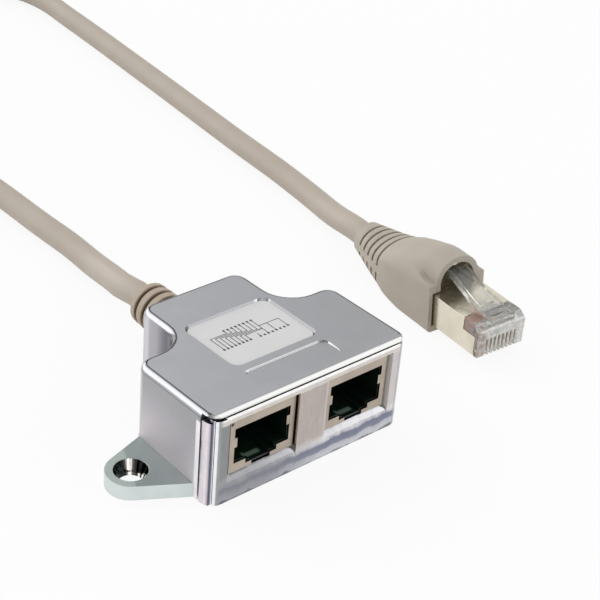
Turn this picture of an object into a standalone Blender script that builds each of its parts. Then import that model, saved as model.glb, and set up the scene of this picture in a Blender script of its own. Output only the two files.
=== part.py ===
"""Shielded two-way network adapter.

A T-shaped metal housing holds two jacks side by side, has one fixing lug on its left,
and sends out a short round lead that ends in a booted plug. +X runs along the row of
jacks, -Y is the side the jacks face, and +Z is up. The origin is on the underside, midway
between the sides.
"""

import math

import bmesh
import bpy
from mathutils import Matrix, Vector

MM = 0.001

# Running gaps between pieces
CLEAR = 0.3 * MM
FINE_CLEAR = 0.2 * MM
EDGE_CLEAR = 0.1 * MM
CUT_OVER = 1.0 * MM

# Sheet metal, wall and board thicknesses
SHEET = 0.35 * MM
WALL = 1.4 * MM
TOP_WALL = 1.2 * MM
BASE_THICK = 1.5 * MM
BOARD_THICK = 1.6 * MM

# Jack port
PORT_WIDTH = 11.8 * MM
PORT_HEIGHT = 7.2 * MM
PORT_DEPTH = 11.5 * MM
PORT_BORDER = 2.05 * MM
LATCH_STEP_WIDTH = 6.7 * MM
LATCH_STEP_DROP = 0.95 * MM
LATCH_NOTCH_WIDTH = 4.0 * MM
LATCH_NOTCH_DROP = 0.4 * MM
PORT_FLOOR = 0.4 * MM
INSERT_WALL = 0.5 * MM
REAR_WALL = 0.9 * MM
CONTACT_ROOM = 2.0 * MM
TAB_WIDTH = 1.9 * MM
TAB_REACH = 0.6 * MM
TAB_HEIGHT = 3.3 * MM

# Jack contacts
CONTACT_COUNT = 8
CONTACT_PITCH = 1.02 * MM
CONTACT_RADIUS = 0.2 * MM
CONTACT_DROP = 2.3 * MM
CONTACT_FOLD = 2.2 * MM
CONTACT_REACH = 6.2 * MM

# Row of jacks
JACK_PITCH = 20.8 * MM
JACK_SETBACK = 0.7 * MM
SIDE_ROOM = 3.05 * MM
REAR_ROOM = 4.3 * MM
HEADROOM = 1.25 * MM

# Housing
ORIGIN_FROM_FRONT = 17.3 * MM
CORNER_RADIUS = 2.75 * MM
FILLET_RADIUS = 5.9 * MM
TOP_EDGE = 1.2 * MM
ROOF_SLOPE = 0.041
NECK_WIDTH = 22.5 * MM
NECK_LENGTH = 13.9 * MM
COVER_LIFT = 0.05 * MM
LIP_THICK = 0.5 * MM
LIP_NOSE = 2.0 * MM
LIP_NOSE_DROP = 0.9 * MM

# Front panel
PANEL_SETBACK = 0.1 * MM
PANEL_THICK = 2.85 * MM
PANEL_TOP_GAP = 0.55 * MM
PANEL_HEAD_THICK = 0.8 * MM
PANEL_STEP_WIDTH = 0.9 * MM
PANEL_STEP_DROP = 0.55 * MM
PANEL_GROOVE_RADIUS = 0.28 * MM
PANEL_GROOVE_ANGLE = 47.0
TONGUE_WIDTH = 0.9 * MM
TONGUE_LENGTH = 2.2 * MM
TONGUE_BOTTOM = 5.0 * MM
TONGUE_TOP = 14.0 * MM
WINDOW_INNER_MARGIN = 0.3 * MM
WINDOW_OUTER_MARGIN = 0.7 * MM
SILL_DROP = 1.4 * MM
SILL_SLOPE = 1.1 * MM

# Label and the shallow pad in front of it
LABEL_WIDTH = 18.1 * MM
LABEL_LENGTH = 14.7 * MM
LABEL_THICK = 0.15 * MM
LABEL_SINK = 0.3 * MM
LABEL_CORNER = 1.6 * MM
LABEL_FROM_FRONT = 10.45 * MM
RECESS_ROOM = 0.5 * MM
RECESS_DRAFT = 0.9
PAD_WIDTH = 18.2 * MM
PAD_LENGTH = 5.0 * MM
PAD_CORNER = 1.2 * MM
PAD_FROM_FRONT = 3.4 * MM
PAD_DEPTH = 0.3 * MM
PAD_END_DEPTH = 0.04 * MM
PAD_DRAFT = 1.4

# Circuit board
BOARD_LIFT = 1.8 * MM
BOARD_NECK_LENGTH = 3.2 * MM
STANDOFF_RADIUS = 1.3 * MM
STANDOFF_EDGE = 4.2 * MM

# Fixing lug
LUG_THICK = 3.0 * MM
LUG_REACH = 6.45 * MM
LUG_FROM_FRONT = 13.2 * MM
LUG_TIP_RADIUS = 4.5 * MM
LUG_HOLE_TOP = 6.1 * MM
LUG_HOLE_BOTTOM = 4.4 * MM
LUG_HOLE_LAND = 0.6 * MM
LUG_ROOT = 15.5 * MM
LUG_ROOT_FROM_FRONT = 4.4 * MM
LUG_INNER = 0.6 * MM

# Screws that hold the base to the cover
BOSS_RADIUS = 2.1 * MM
SCREW_RADIUS = 0.9 * MM
SCREW_HEAD_RADIUS = 2.1 * MM
SCREW_HEAD_HEIGHT = 1.1 * MM
SCREW_LENGTH = 7.5 * MM
FRONT_BOSS_FROM_FRONT = 8.5 * MM
NECK_BOSS_SIDE = 7.0 * MM
NECK_BOSS_FROM_REAR = 7.8 * MM

# Lead
CABLE_RADIUS = 2.6 * MM
CABLE_HEIGHT = 7.35 * MM
CABLE_INSIDE = 8.0 * MM
CONDUCTOR_RADIUS = 0.32 * MM
CONDUCTOR_PITCH = 1.05 * MM
CONDUCTOR_STUB = 0.8 * MM
CONDUCTOR_SAG = 0.3 * MM
CONDUCTOR_DROP = 1.0 * MM
CONDUCTOR_LEAN = 0.6 * MM
CONDUCTOR_ROW_GAP = 1.2 * MM
CONDUCTOR_EDGE = 1.0 * MM

# Strain relief on the housing
RELIEF_LENGTH = 12.3 * MM
RELIEF_ROOT_RADIUS = 4.8 * MM
RELIEF_TIP_RADIUS = 4.25 * MM
RELIEF_WAIST_RADIUS = 3.7 * MM
RELIEF_FLANGE_RADIUS = 5.0 * MM
RELIEF_FLANGE = 1.3 * MM
RING_COUNT = 5
RING_PITCH = 2.3 * MM
RING_GROOVE = 0.8 * MM
RING_DEPTH = 0.85 * MM

# Cable clamp
CLAMP_WIDTH = 2.2 * MM
CLAMP_WALL = 1.3 * MM
CLAMP_FROM_FLANGE = 1.0 * MM

# Plug
PLUG_WIDTH = 11.68 * MM
PLUG_HEIGHT = 6.6 * MM
PLUG_LENGTH = 21.5 * MM
PLUG_NOSE = 1.0 * MM
PLUG_NOSE_DROP = 1.1 * MM
PLUG_CHAMFER = 1.6 * MM
PLUG_SHEET = 0.3 * MM
SLEEVE_START = 5.0 * MM
CHEEK_TOP = 4.1 * MM
CHEEK_LENGTH = 4.7 * MM
SLEEVE_END_GAP = 1.0 * MM
PLUG_PITCH = 1.02 * MM
BLADE_THICK = 0.3 * MM
BLADE_LENGTH = 4.2 * MM
BLADE_HEIGHT = 3.1 * MM
BLADE_SETBACK = 0.5 * MM
SLOT_HEIGHT = 3.6 * MM
WIRE_POCKET_WIDTH = 9.0 * MM
WIRE_POCKET_HEIGHT = 1.9 * MM
WIRE_POCKET_ROOF = 0.8 * MM
WIRE_POCKET_START = 2.0 * MM
LOAD_BAR_LENGTH = 15.0 * MM

# Latch lever on the plug
LEVER_WIDTH = 6.6 * MM
LEVER_TAIL_WIDTH = 4.9 * MM
LEVER_SHOULDER = 4.5 * MM
LEVER_TAPER = 3.5 * MM
LEVER_LENGTH = 16.5 * MM
LEVER_THICK = 1.0 * MM
LEVER_RISE = 3.55 * MM
LEVER_ROOT = 1.0 * MM
LEVER_ROOT_STEP = 0.8 * MM
HINGE_SLOT_FROM_NOSE = 1.7 * MM
HINGE_SLOT_WIDTH = 3.3 * MM
HINGE_SLOT_GAP = 0.35 * MM
HINGE_SLOT_DEPTH = 0.5 * MM
RAIL_WIDTH = 0.7 * MM
RAIL_HEIGHT = 0.45 * MM

# Boot over the plug
BOOT_LENGTH = 28.8 * MM
BOOT_WALL = 0.9 * MM
BOOT_FLOOR = 1.2 * MM
BOOT_SHOULDER = 2.0 * MM
BOOT_END_RADIUS = 3.55 * MM
BOOT_CORNER = 0.8 * MM
BOOT_EDGE = 0.5 * MM
BOOT_BLEND = 2.0 * MM
HOOD_RISE = 4.6 * MM
HOOD_WIDTH = 10.6 * MM
HOOD_WALL = 1.1 * MM
HOOD_DEPTH = 7.0 * MM
HOOD_TILT = math.radians(6.0)
MOUTH_LEAN = 0.1
MOUTH_LEAN_SHARE = 0.3
PLUG_SHOWN = 13.0 * MM
GROOVE_COUNT = 5
GROOVE_PITCH = 2.0 * MM
GROOVE_WIDTH = 0.65 * MM
GROOVE_DEPTH = 0.8 * MM
GROOVE_FROM_END = 2.8 * MM
GROOVE_RIB = 1.5 * MM

# Where the plug lies on the table
PLUG_PLACE = Vector((51.9 * MM, -12.8 * MM, 0.0))
PLUG_TURN = math.radians(-3.8)

# The free lead: chosen points from just behind the strain relief to just behind the boot
LEAD_ROUTE_MM = [
    (0.2, 39.7, 6.3),
    (1.4, 44.7, 5.0),
    (2.5, 49.7, 3.6),
    (3.2, 54.7, 2.75),
    (3.4, 62.7, 2.7),
    (2.9, 73.2, 2.7),
    (2.5, 88.7, 2.7),
    (2.0, 97.7, 2.7),
    (2.5, 112.7, 2.7),
    (5.0, 132.7, 2.7),
    (9.0, 150.7, 2.7),
    (14.0, 166.7, 2.7),
    (22.0, 182.7, 2.7),
    (33.0, 193.7, 2.7),
    (46.0, 196.7, 2.7),
    (57.0, 191.7, 2.7),
    (64.0, 181.7, 2.7),
    (66.3, 170.7, 2.7),
    (65.8, 157.7, 2.7),
    (65.0, 142.7, 2.7),
    (64.0, 127.7, 2.7),
    (63.0, 112.7, 2.7),
    (61.8, 96.2, 2.7),
    (60.6, 79.7, 2.7),
    (59.7, 63.7, 2.7),
    (58.3, 49.7, 2.7),
    (57.5, 45.7, 2.9),
    (56.3, 39.7, 3.6),
    (55.4, 34.2, 4.5),
]
LEAD_SPACING = 10.4 * MM
EXIT_STRAIGHT = 3.5 * MM

# Facets on round shapes
ARC_STEPS = 7
ROUND_STEPS = 32
SMALL_STEPS = 16

# Sizes worked out from the ones above
JACK_WIDTH = PORT_WIDTH + 2 * (INSERT_WALL + FINE_CLEAR + SHEET)
PORT_BOTTOM = PORT_FLOOR + LATCH_NOTCH_DROP + LATCH_STEP_DROP
JACK_HEIGHT = PORT_BOTTOM + PORT_HEIGHT + PORT_BORDER
JACK_DEPTH = SHEET + FINE_CLEAR + PORT_DEPTH + REAR_WALL + CONTACT_ROOM + SHEET

BOARD_BOTTOM = BASE_THICK + BOARD_LIFT
BOARD_TOP = BOARD_BOTTOM + BOARD_THICK
JACK_BOTTOM = BOARD_TOP + CLEAR
JACK_TOP = JACK_BOTTOM + JACK_HEIGHT
ROOF = JACK_TOP + HEADROOM
HEIGHT = ROOF + TOP_WALL

BODY_HALF = JACK_PITCH / 2 + JACK_WIDTH / 2 + SIDE_ROOM + WALL
BODY_DEPTH = PANEL_SETBACK + JACK_SETBACK + JACK_DEPTH + REAR_ROOM + WALL
NECK_HALF = NECK_WIDTH / 2
FRONT = -ORIGIN_FROM_FRONT
SHOULDER = FRONT + BODY_DEPTH
REAR = SHOULDER + NECK_LENGTH
JACK_FRONT = FRONT + PANEL_SETBACK + JACK_SETBACK
JACK_REAR = JACK_FRONT + JACK_DEPTH

PANEL_FRONT = FRONT + PANEL_SETBACK
PANEL_REAR = PANEL_FRONT + PANEL_THICK
LIP_BOTTOM = HEIGHT - LIP_THICK
PANEL_TOP = LIP_BOTTOM - PANEL_TOP_GAP
PANEL_HEAD_TOP = ROOF - ROOF_SLOPE * (PANEL_REAR - FRONT) - CLEAR

RELIEF_TIP = REAR + CLEAR + RELIEF_LENGTH
FLANGE_FRONT = REAR - WALL - CLEAR - RELIEF_FLANGE
CLAMP_REAR = FLANGE_FRONT - CLAMP_FROM_FLANGE
CABLE_END = FLANGE_FRONT - CABLE_INSIDE
BORE_RADIUS = CABLE_RADIUS + CLEAR

BOOT_BODY_TOP = BOOT_FLOOR + CLEAR + PLUG_HEIGHT + BOOT_SHOULDER
BOOT_HALF = PLUG_WIDTH / 2 + CLEAR + BOOT_WALL
PLUG_BOTTOM = BOOT_FLOOR + CLEAR
PLUG_AXIS = PLUG_BOTTOM + PLUG_HEIGHT / 2
BOOT_END = PLUG_SHOWN + BOOT_LENGTH

MODEL = "network_adapter"
CUTTERS = "cutters"


def clear_scene():
    """Empty the scene and make the two collections."""
    for item in list(bpy.data.objects):
        bpy.data.objects.remove(item, do_unlink=True)
    for name in (MODEL, CUTTERS):
        collection = bpy.data.collections.new(name)
        bpy.context.scene.collection.children.link(collection)


def material(name, colour, roughness, metallic=0.0, transmission=0.0):
    """A Principled material with the piece's colour and finish."""
    made = bpy.data.materials.new(name)
    made.use_nodes = True
    shader = made.node_tree.nodes["Principled BSDF"]
    shader.inputs["Base Color"].default_value = (*colour, 1.0)
    shader.inputs["Roughness"].default_value = roughness
    shader.inputs["Metallic"].default_value = metallic
    shader.inputs["Transmission Weight"].default_value = transmission
    made.diffuse_color = (*colour, 1.0)
    return made


def place(name, mesh, finish=None, parent=None):
    """Put a mesh in the model, or among the cutters when it has no finish."""
    made = bpy.data.objects.new(name, mesh)
    is_cutter = finish is None
    bpy.data.collections[CUTTERS if is_cutter else MODEL].objects.link(made)
    if is_cutter:
        made.hide_render = True
        made.display_type = "WIRE"
    else:
        mesh.materials.append(finish)
        mesh.set_sharp_from_angle(angle=math.radians(35.0))
    made.parent = parent
    return made


def boolean(target, other, operation="DIFFERENCE"):
    """Cut, join or intersect a target with another closed shape."""
    step = target.modifiers.new(other.name, "BOOLEAN")
    step.operation = operation
    step.solver = "EXACT"
    step.object = other


def box_mesh(name, low, high):
    """A box between two corners."""
    shape = bmesh.new()
    bmesh.ops.create_cube(shape, size=1.0)
    size = [b - a for a, b in zip(low, high)]
    middle = [(a + b) / 2 for a, b in zip(low, high)]
    bmesh.ops.transform(
        shape, matrix=Matrix.Translation(middle) @ Matrix.Diagonal((*size, 1.0)), verts=shape.verts)
    mesh = bpy.data.meshes.new(name)
    shape.to_mesh(mesh)
    shape.free()
    return mesh


AXIS_TURN = {
    "X": Matrix.Rotation(math.pi / 2, 4, "Y"),
    "Y": Matrix.Rotation(-math.pi / 2, 4, "X"),
    "Z": Matrix.Identity(4),
}


def round_mesh(name, centre, radius, length, axis="Z", steps=ROUND_STEPS, end_radius=None):
    """A cylinder or cone that starts at a centre and runs along an axis."""
    shape = bmesh.new()
    bmesh.ops.create_cone(
        shape, cap_ends=True, segments=steps, depth=length,
        radius1=radius, radius2=radius if end_radius is None else end_radius)
    bmesh.ops.translate(shape, verts=shape.verts, vec=(0.0, 0.0, length / 2))
    bmesh.ops.transform(shape, matrix=Matrix.Translation(centre) @ AXIS_TURN[axis], verts=shape.verts)
    mesh = bpy.data.meshes.new(name)
    shape.to_mesh(mesh)
    shape.free()
    mesh.shade_smooth()
    return mesh


PRISM_TURN = {
    "X": Matrix(((0, 0, 1, 0), (1, 0, 0, 0), (0, 1, 0, 0), (0, 0, 0, 1))),
    "Y": Matrix(((1, 0, 0, 0), (0, 0, -1, 0), (0, 1, 0, 0), (0, 0, 0, 1))),
    "Z": Matrix.Identity(4),
}


def prism_mesh(name, outline, start, end, axis="Z"):
    """A flat outline pulled along an axis from start to end.

    The outline is (x, y) for Z, (y, z) for X and (x, z) for Y.
    """
    curve = bpy.data.curves.new(name, "CURVE")
    curve.dimensions = "2D"
    curve.fill_mode = "BOTH"
    curve.extrude = (end - start) / 2
    spline = curve.splines.new("POLY")
    spline.points.add(len(outline) - 1)
    for point, (across, along) in zip(spline.points, outline):
        point.co = (across, along, 0.0, 1.0)
    spline.use_cyclic_u = True
    guide = bpy.data.objects.new(name, curve)
    bpy.context.scene.collection.objects.link(guide)
    bpy.context.view_layer.update()
    mesh = bpy.data.meshes.new_from_object(guide.evaluated_get(bpy.context.evaluated_depsgraph_get()))
    bpy.data.objects.remove(guide, do_unlink=True)
    shape = bmesh.new()
    shape.from_mesh(mesh)
    bmesh.ops.remove_doubles(shape, verts=shape.verts, dist=0.000002)
    middle = (start + end) / 2
    lift = {"X": (middle, 0, 0), "Y": (0, middle, 0), "Z": (0, 0, middle)}[axis]
    bmesh.ops.transform(shape, matrix=Matrix.Translation(lift) @ PRISM_TURN[axis], verts=shape.verts)
    bmesh.ops.recalc_face_normals(shape, faces=shape.faces)
    shape.to_mesh(mesh)
    shape.free()
    mesh.name = name
    mesh.shade_smooth()
    return mesh


def tube(name, points, radius, finish, resolution=2):
    """A round wire along a list of points, closed at both ends."""
    curve = bpy.data.curves.new(name, "CURVE")
    curve.dimensions = "3D"
    curve.bevel_depth = radius
    curve.bevel_resolution = resolution
    curve.use_fill_caps = True
    spline = curve.splines.new("POLY")
    spline.points.add(len(points) - 1)
    for point, place_at in zip(spline.points, points):
        point.co = (*place_at, 1.0)
    curve.materials.append(finish)
    made = bpy.data.objects.new(name, curve)
    bpy.data.collections[MODEL].objects.link(made)
    return made


def arc(centre, radius, from_degrees, to_degrees, steps=ARC_STEPS, height=None):
    """Points on a circular arc, or on an elliptic one when a height is given."""
    tall = radius if height is None else height
    points = []
    for i in range(steps + 1):
        angle = math.radians(from_degrees + (to_degrees - from_degrees) * i / steps)
        points.append((centre[0] + radius * math.cos(angle), centre[1] + tall * math.sin(angle)))
    return points


def rounded_rectangle(half_width, bottom, top, radius, steps=ARC_STEPS):
    """A rounded rectangle about the upright axis, drawn anticlockwise."""
    side = half_width - radius
    return (arc((-side, bottom + radius), radius, 180, 270, steps)
            + arc((side, bottom + radius), radius, 270, 360, steps)
            + arc((side, top - radius), radius, 0, 90, steps)
            + arc((-side, top - radius), radius, 90, 180, steps))


def housing_outline(inset, front=None):
    """The T-shaped plan of the housing, moved inwards by an inset."""
    half, neck = BODY_HALF - inset, NECK_HALF - inset
    near = FRONT + inset if front is None else front
    shoulder, rear = SHOULDER - inset, REAR - inset
    convex = max(CORNER_RADIUS - inset, 0.4 * MM)
    near_radius = convex if front is None else 0.4 * MM
    concave = FILLET_RADIUS + inset
    return (arc((-half + near_radius, near + near_radius), near_radius, 180, 270)
            + arc((half - near_radius, near + near_radius), near_radius, 270, 360)
            + arc((half - convex, shoulder - convex), convex, 0, 90)
            + arc((neck + concave, shoulder + concave), concave, 270, 180)
            + arc((neck - convex, rear - convex), convex, 0, 90)
            + arc((-neck + convex, rear - convex), convex, 90, 180)
            + arc((-neck - concave, shoulder + concave), concave, 360, 270)
            + arc((-half + convex, shoulder - convex), convex, 90, 180))


def boss_places():
    """The three screw positions in plan."""
    neck_y = REAR - NECK_BOSS_FROM_REAR
    return [(0.0, FRONT + FRONT_BOSS_FROM_FRONT), (-NECK_BOSS_SIDE, neck_y), (NECK_BOSS_SIDE, neck_y)]


def jack_centres():
    """The two jacks' middles along the row, with their names."""
    return {"left": -JACK_PITCH / 2, "right": JACK_PITCH / 2}


def round_top_edges(mesh, height, width):
    """Round the rim of the face that lies at a height."""
    shape = bmesh.new()
    shape.from_mesh(mesh)
    bmesh.ops.dissolve_limit(shape, angle_limit=math.radians(0.5), verts=shape.verts, edges=shape.edges)
    shape.normal_update()
    rim = []
    for edge in shape.edges:
        level = all(abs(vertex.co.z - height) < 0.01 * MM for vertex in edge.verts)
        steep = any(abs(face.normal.z) < 0.5 for face in edge.link_faces)
        if level and steep:
            rim.append(edge)
    bmesh.ops.bevel(shape, geom=rim, offset=width, segments=4, profile=0.5, affect="EDGES",
                    clamp_overlap=False)
    shape.to_mesh(mesh)
    shape.free()
    mesh.shade_smooth()


def roof_drop(y):
    """How far the roof has fallen at y, counted from the front face."""
    return ROOF_SLOPE * (y - FRONT)


def follow_roof(mesh, above):
    """Lower what lies above a height, so that a level top slopes to the rear like the roof."""
    for vertex in mesh.vertices:
        if vertex.co.z > above:
            vertex.co.z -= roof_drop(vertex.co.y)


def lean_walls(mesh, level, middle, draft):
    """Slope a cutter's rear and right walls outwards, from a level up and down."""
    for vertex in mesh.vertices:
        lean = draft * (vertex.co.z - level)
        if vertex.co.x > 0.0:
            vertex.co.x += lean
        if vertex.co.y > middle:
            vertex.co.y += lean


def lug_outline(grow=0.0, inner=0.0):
    """The lug in plan: two straight sides that run tangent to a round tip."""
    root_x = -BODY_HALF + inner
    near = FRONT + LUG_ROOT_FROM_FRONT - grow
    far = FRONT + LUG_ROOT_FROM_FRONT + LUG_ROOT + grow
    tip = Vector((-BODY_HALF - LUG_REACH, FRONT + LUG_FROM_FRONT))
    radius = LUG_TIP_RADIUS + grow
    ends = []
    for root_y, side in ((far, 1), (near, -1)):
        reach = Vector((-BODY_HALF, root_y)) - tip
        spread = math.acos(min(radius / reach.length, 1.0))
        ends.append(math.atan2(reach.y, reach.x) + side * spread)
    begin, finish = math.degrees(ends[0]), math.degrees(ends[1]) + 360.0
    points = arc(tip, radius, begin, finish, 2 * ARC_STEPS)
    return ([(root_x, far), (-BODY_HALF, far)] + points + [(-BODY_HALF, near), (root_x, near)])


def make_cover(finish):
    """The cast cover: roof, walls, front lip and screw bosses."""
    mesh = prism_mesh("cover", housing_outline(0.0), COVER_LIFT, HEIGHT)
    round_top_edges(mesh, HEIGHT, TOP_EDGE)
    follow_roof(mesh, HEIGHT / 2)
    cover = place("cover", mesh, finish)

    hollow = prism_mesh("cover_hollow", housing_outline(WALL), -CUT_OVER, ROOF)
    follow_roof(hollow, HEIGHT / 2)
    boolean(cover, place("cover_hollow", hollow))

    for index, (x, y) in enumerate(boss_places()):
        name = f"boss_{index + 1}"
        post_length = ROOF + TOP_WALL / 2 - roof_drop(y) - BASE_THICK - CLEAR
        post = round_mesh(name, (x, y, BASE_THICK + CLEAR), BOSS_RADIUS, post_length)
        boolean(cover, place(name, post), "UNION")
        name = f"boss_pilot_{index + 1}"
        pilot_length = SCREW_LENGTH + CLEAR + BASE_THICK
        pilot = round_mesh(name, (x, y, 0.0), SCREW_RADIUS + CLEAR, pilot_length, steps=SMALL_STEPS)
        boolean(cover, place(name, pilot))

    doorway = box_mesh("cover_doorway", (-BODY_HALF - CUT_OVER, FRONT - CUT_OVER, -CUT_OVER),
                       (BODY_HALF + CUT_OVER, PANEL_REAR + CLEAR, LIP_BOTTOM))
    boolean(cover, place("cover_doorway", doorway))

    nose_low = HEIGHT - LIP_NOSE_DROP
    nose_end = FRONT + LIP_NOSE
    nose = ([(FRONT - CUT_OVER, HEIGHT + CUT_OVER), (FRONT - CUT_OVER, nose_low)]
            + arc((nose_end, nose_low), LIP_NOSE, 180, 90, ARC_STEPS, LIP_NOSE_DROP - roof_drop(nose_end))
            + [(nose_end, HEIGHT + CUT_OVER)])
    nose_cut = prism_mesh("cover_nose", nose, -BODY_HALF - CUT_OVER, BODY_HALF + CUT_OVER, "X")
    boolean(cover, place("cover_nose", nose_cut))

    waist = RELIEF_WAIST_RADIUS + CLEAR
    notch = arc((0.0, CABLE_HEIGHT), waist, 0, 180, 2 * ARC_STEPS) + [(-waist, -CUT_OVER), (waist, -CUT_OVER)]
    notch_cut = prism_mesh("cable_notch", notch, REAR - 2 * WALL, REAR + CUT_OVER, "Y")
    boolean(cover, place("cable_notch", notch_cut))

    lug_slot = box_mesh(
        "lug_slot",
        (-BODY_HALF - CUT_OVER, FRONT + LUG_ROOT_FROM_FRONT - CLEAR, -CUT_OVER),
        (-BODY_HALF + WALL + CUT_OVER, FRONT + LUG_ROOT_FROM_FRONT + LUG_ROOT + CLEAR, LUG_THICK + CLEAR))
    boolean(cover, place("lug_slot", lug_slot))

    label_y = FRONT + LABEL_FROM_FRONT
    recess = rounded_rectangle(LABEL_WIDTH / 2 + FINE_CLEAR, label_y - FINE_CLEAR,
                               label_y + LABEL_LENGTH + RECESS_ROOM, LABEL_CORNER + FINE_CLEAR)
    recess_floor = HEIGHT - LABEL_SINK - LABEL_THICK - EDGE_CLEAR
    recess_cut = prism_mesh("label_recess", recess, recess_floor, HEIGHT + CUT_OVER)
    for vertex in recess_cut.vertices:
        if vertex.co.x > 0.0:
            vertex.co.x += RECESS_ROOM - FINE_CLEAR
    lean_walls(recess_cut, HEIGHT, label_y + LABEL_LENGTH / 2, RECESS_DRAFT)
    follow_roof(recess_cut, HEIGHT / 2)
    boolean(cover, place("label_recess", recess_cut))

    pad_near = FRONT + PAD_FROM_FRONT
    pad = rounded_rectangle(PAD_WIDTH / 2, pad_near, pad_near + PAD_LENGTH, PAD_CORNER)
    pad_cut = prism_mesh("pad_recess", pad, HEIGHT - PAD_END_DEPTH, HEIGHT + CUT_OVER)
    lean_walls(pad_cut, HEIGHT + PAD_DEPTH - PAD_END_DEPTH, pad_near + PAD_LENGTH / 2, PAD_DRAFT)
    follow_roof(pad_cut, HEIGHT / 2)
    fall = (PAD_DEPTH - PAD_END_DEPTH) / PAD_LENGTH
    for vertex in pad_cut.vertices:
        if vertex.co.z < HEIGHT:
            vertex.co.z -= fall * (vertex.co.y - pad_near)
    boolean(cover, place("pad_recess", pad_cut))
    return cover


def make_base(finish):
    """The base plate with the fixing lug, board standoffs and the tongue under the lead."""
    inset = WALL + CLEAR
    plan = housing_outline(inset, front=PANEL_REAR + CLEAR)
    base = place("base_plate", prism_mesh("base_plate", plan, 0.0, BASE_THICK), finish)

    lug = prism_mesh("lug", lug_outline(inner=WALL + CLEAR + LUG_INNER), 0.0, LUG_THICK)
    boolean(base, place("lug", lug), "UNION")

    for index, (x, y) in enumerate(standoff_places()):
        name = f"standoff_{index + 1}"
        post = round_mesh(name, (x, y, BASE_THICK / 2), STANDOFF_RADIUS,
                          BOARD_BOTTOM - CLEAR - BASE_THICK / 2, steps=SMALL_STEPS)
        boolean(base, place(name, post), "UNION")

    tongue_half = RELIEF_WAIST_RADIUS
    tongue_top = CABLE_HEIGHT - RELIEF_WAIST_RADIUS - CLEAR
    tongues = (("tongue", REAR - WALL - inset, BASE_THICK), ("tongue_end", REAR - WALL, tongue_top))
    for name, near, high in tongues:
        tongue = box_mesh(name, (-tongue_half, near, 0.0), (tongue_half, REAR, high))
        boolean(base, place(name, tongue), "UNION")

    for index, (x, y) in enumerate(boss_places()):
        name = f"screw_hole_{index + 1}"
        hole = round_mesh(name, (x, y, -CUT_OVER), SCREW_RADIUS + CLEAR, BASE_THICK + 2 * CUT_OVER)
        boolean(base, place(name, hole))
        name = f"countersink_{index + 1}"
        slope = (SCREW_HEAD_RADIUS - SCREW_RADIUS) / SCREW_HEAD_HEIGHT
        wide = SCREW_HEAD_RADIUS + CLEAR
        sink = round_mesh(name, (x, y, -CUT_OVER), wide + slope * CUT_OVER,
                          CUT_OVER + EDGE_CLEAR + SCREW_HEAD_HEIGHT,
                          end_radius=SCREW_RADIUS + CLEAR - slope * EDGE_CLEAR)
        boolean(base, place(name, sink))

    tip_x, tip_y = -BODY_HALF - LUG_REACH, FRONT + LUG_FROM_FRONT
    hole = round_mesh("lug_hole", (tip_x, tip_y, -CUT_OVER), LUG_HOLE_BOTTOM / 2, LUG_THICK + 2 * CUT_OVER,
                      steps=40)
    boolean(base, place("lug_hole", hole))
    flare = (LUG_HOLE_TOP - LUG_HOLE_BOTTOM) / 2 / (LUG_THICK - LUG_HOLE_LAND)
    cone = round_mesh("lug_cone", (tip_x, tip_y, LUG_HOLE_LAND - EDGE_CLEAR),
                      LUG_HOLE_BOTTOM / 2 - flare * EDGE_CLEAR,
                      LUG_THICK - LUG_HOLE_LAND + EDGE_CLEAR + CUT_OVER,
                      steps=40, end_radius=LUG_HOLE_TOP / 2 + flare * CUT_OVER)
    boolean(base, place("lug_cone", cone))
    return base


def standoff_places():
    """Posts near the board's four corners."""
    near, far = PANEL_REAR + STANDOFF_EDGE, SHOULDER - WALL - STANDOFF_EDGE
    side = BODY_HALF - WALL - STANDOFF_EDGE
    return [(x, y) for x in (-side, side) for y in (near, far)]


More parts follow.
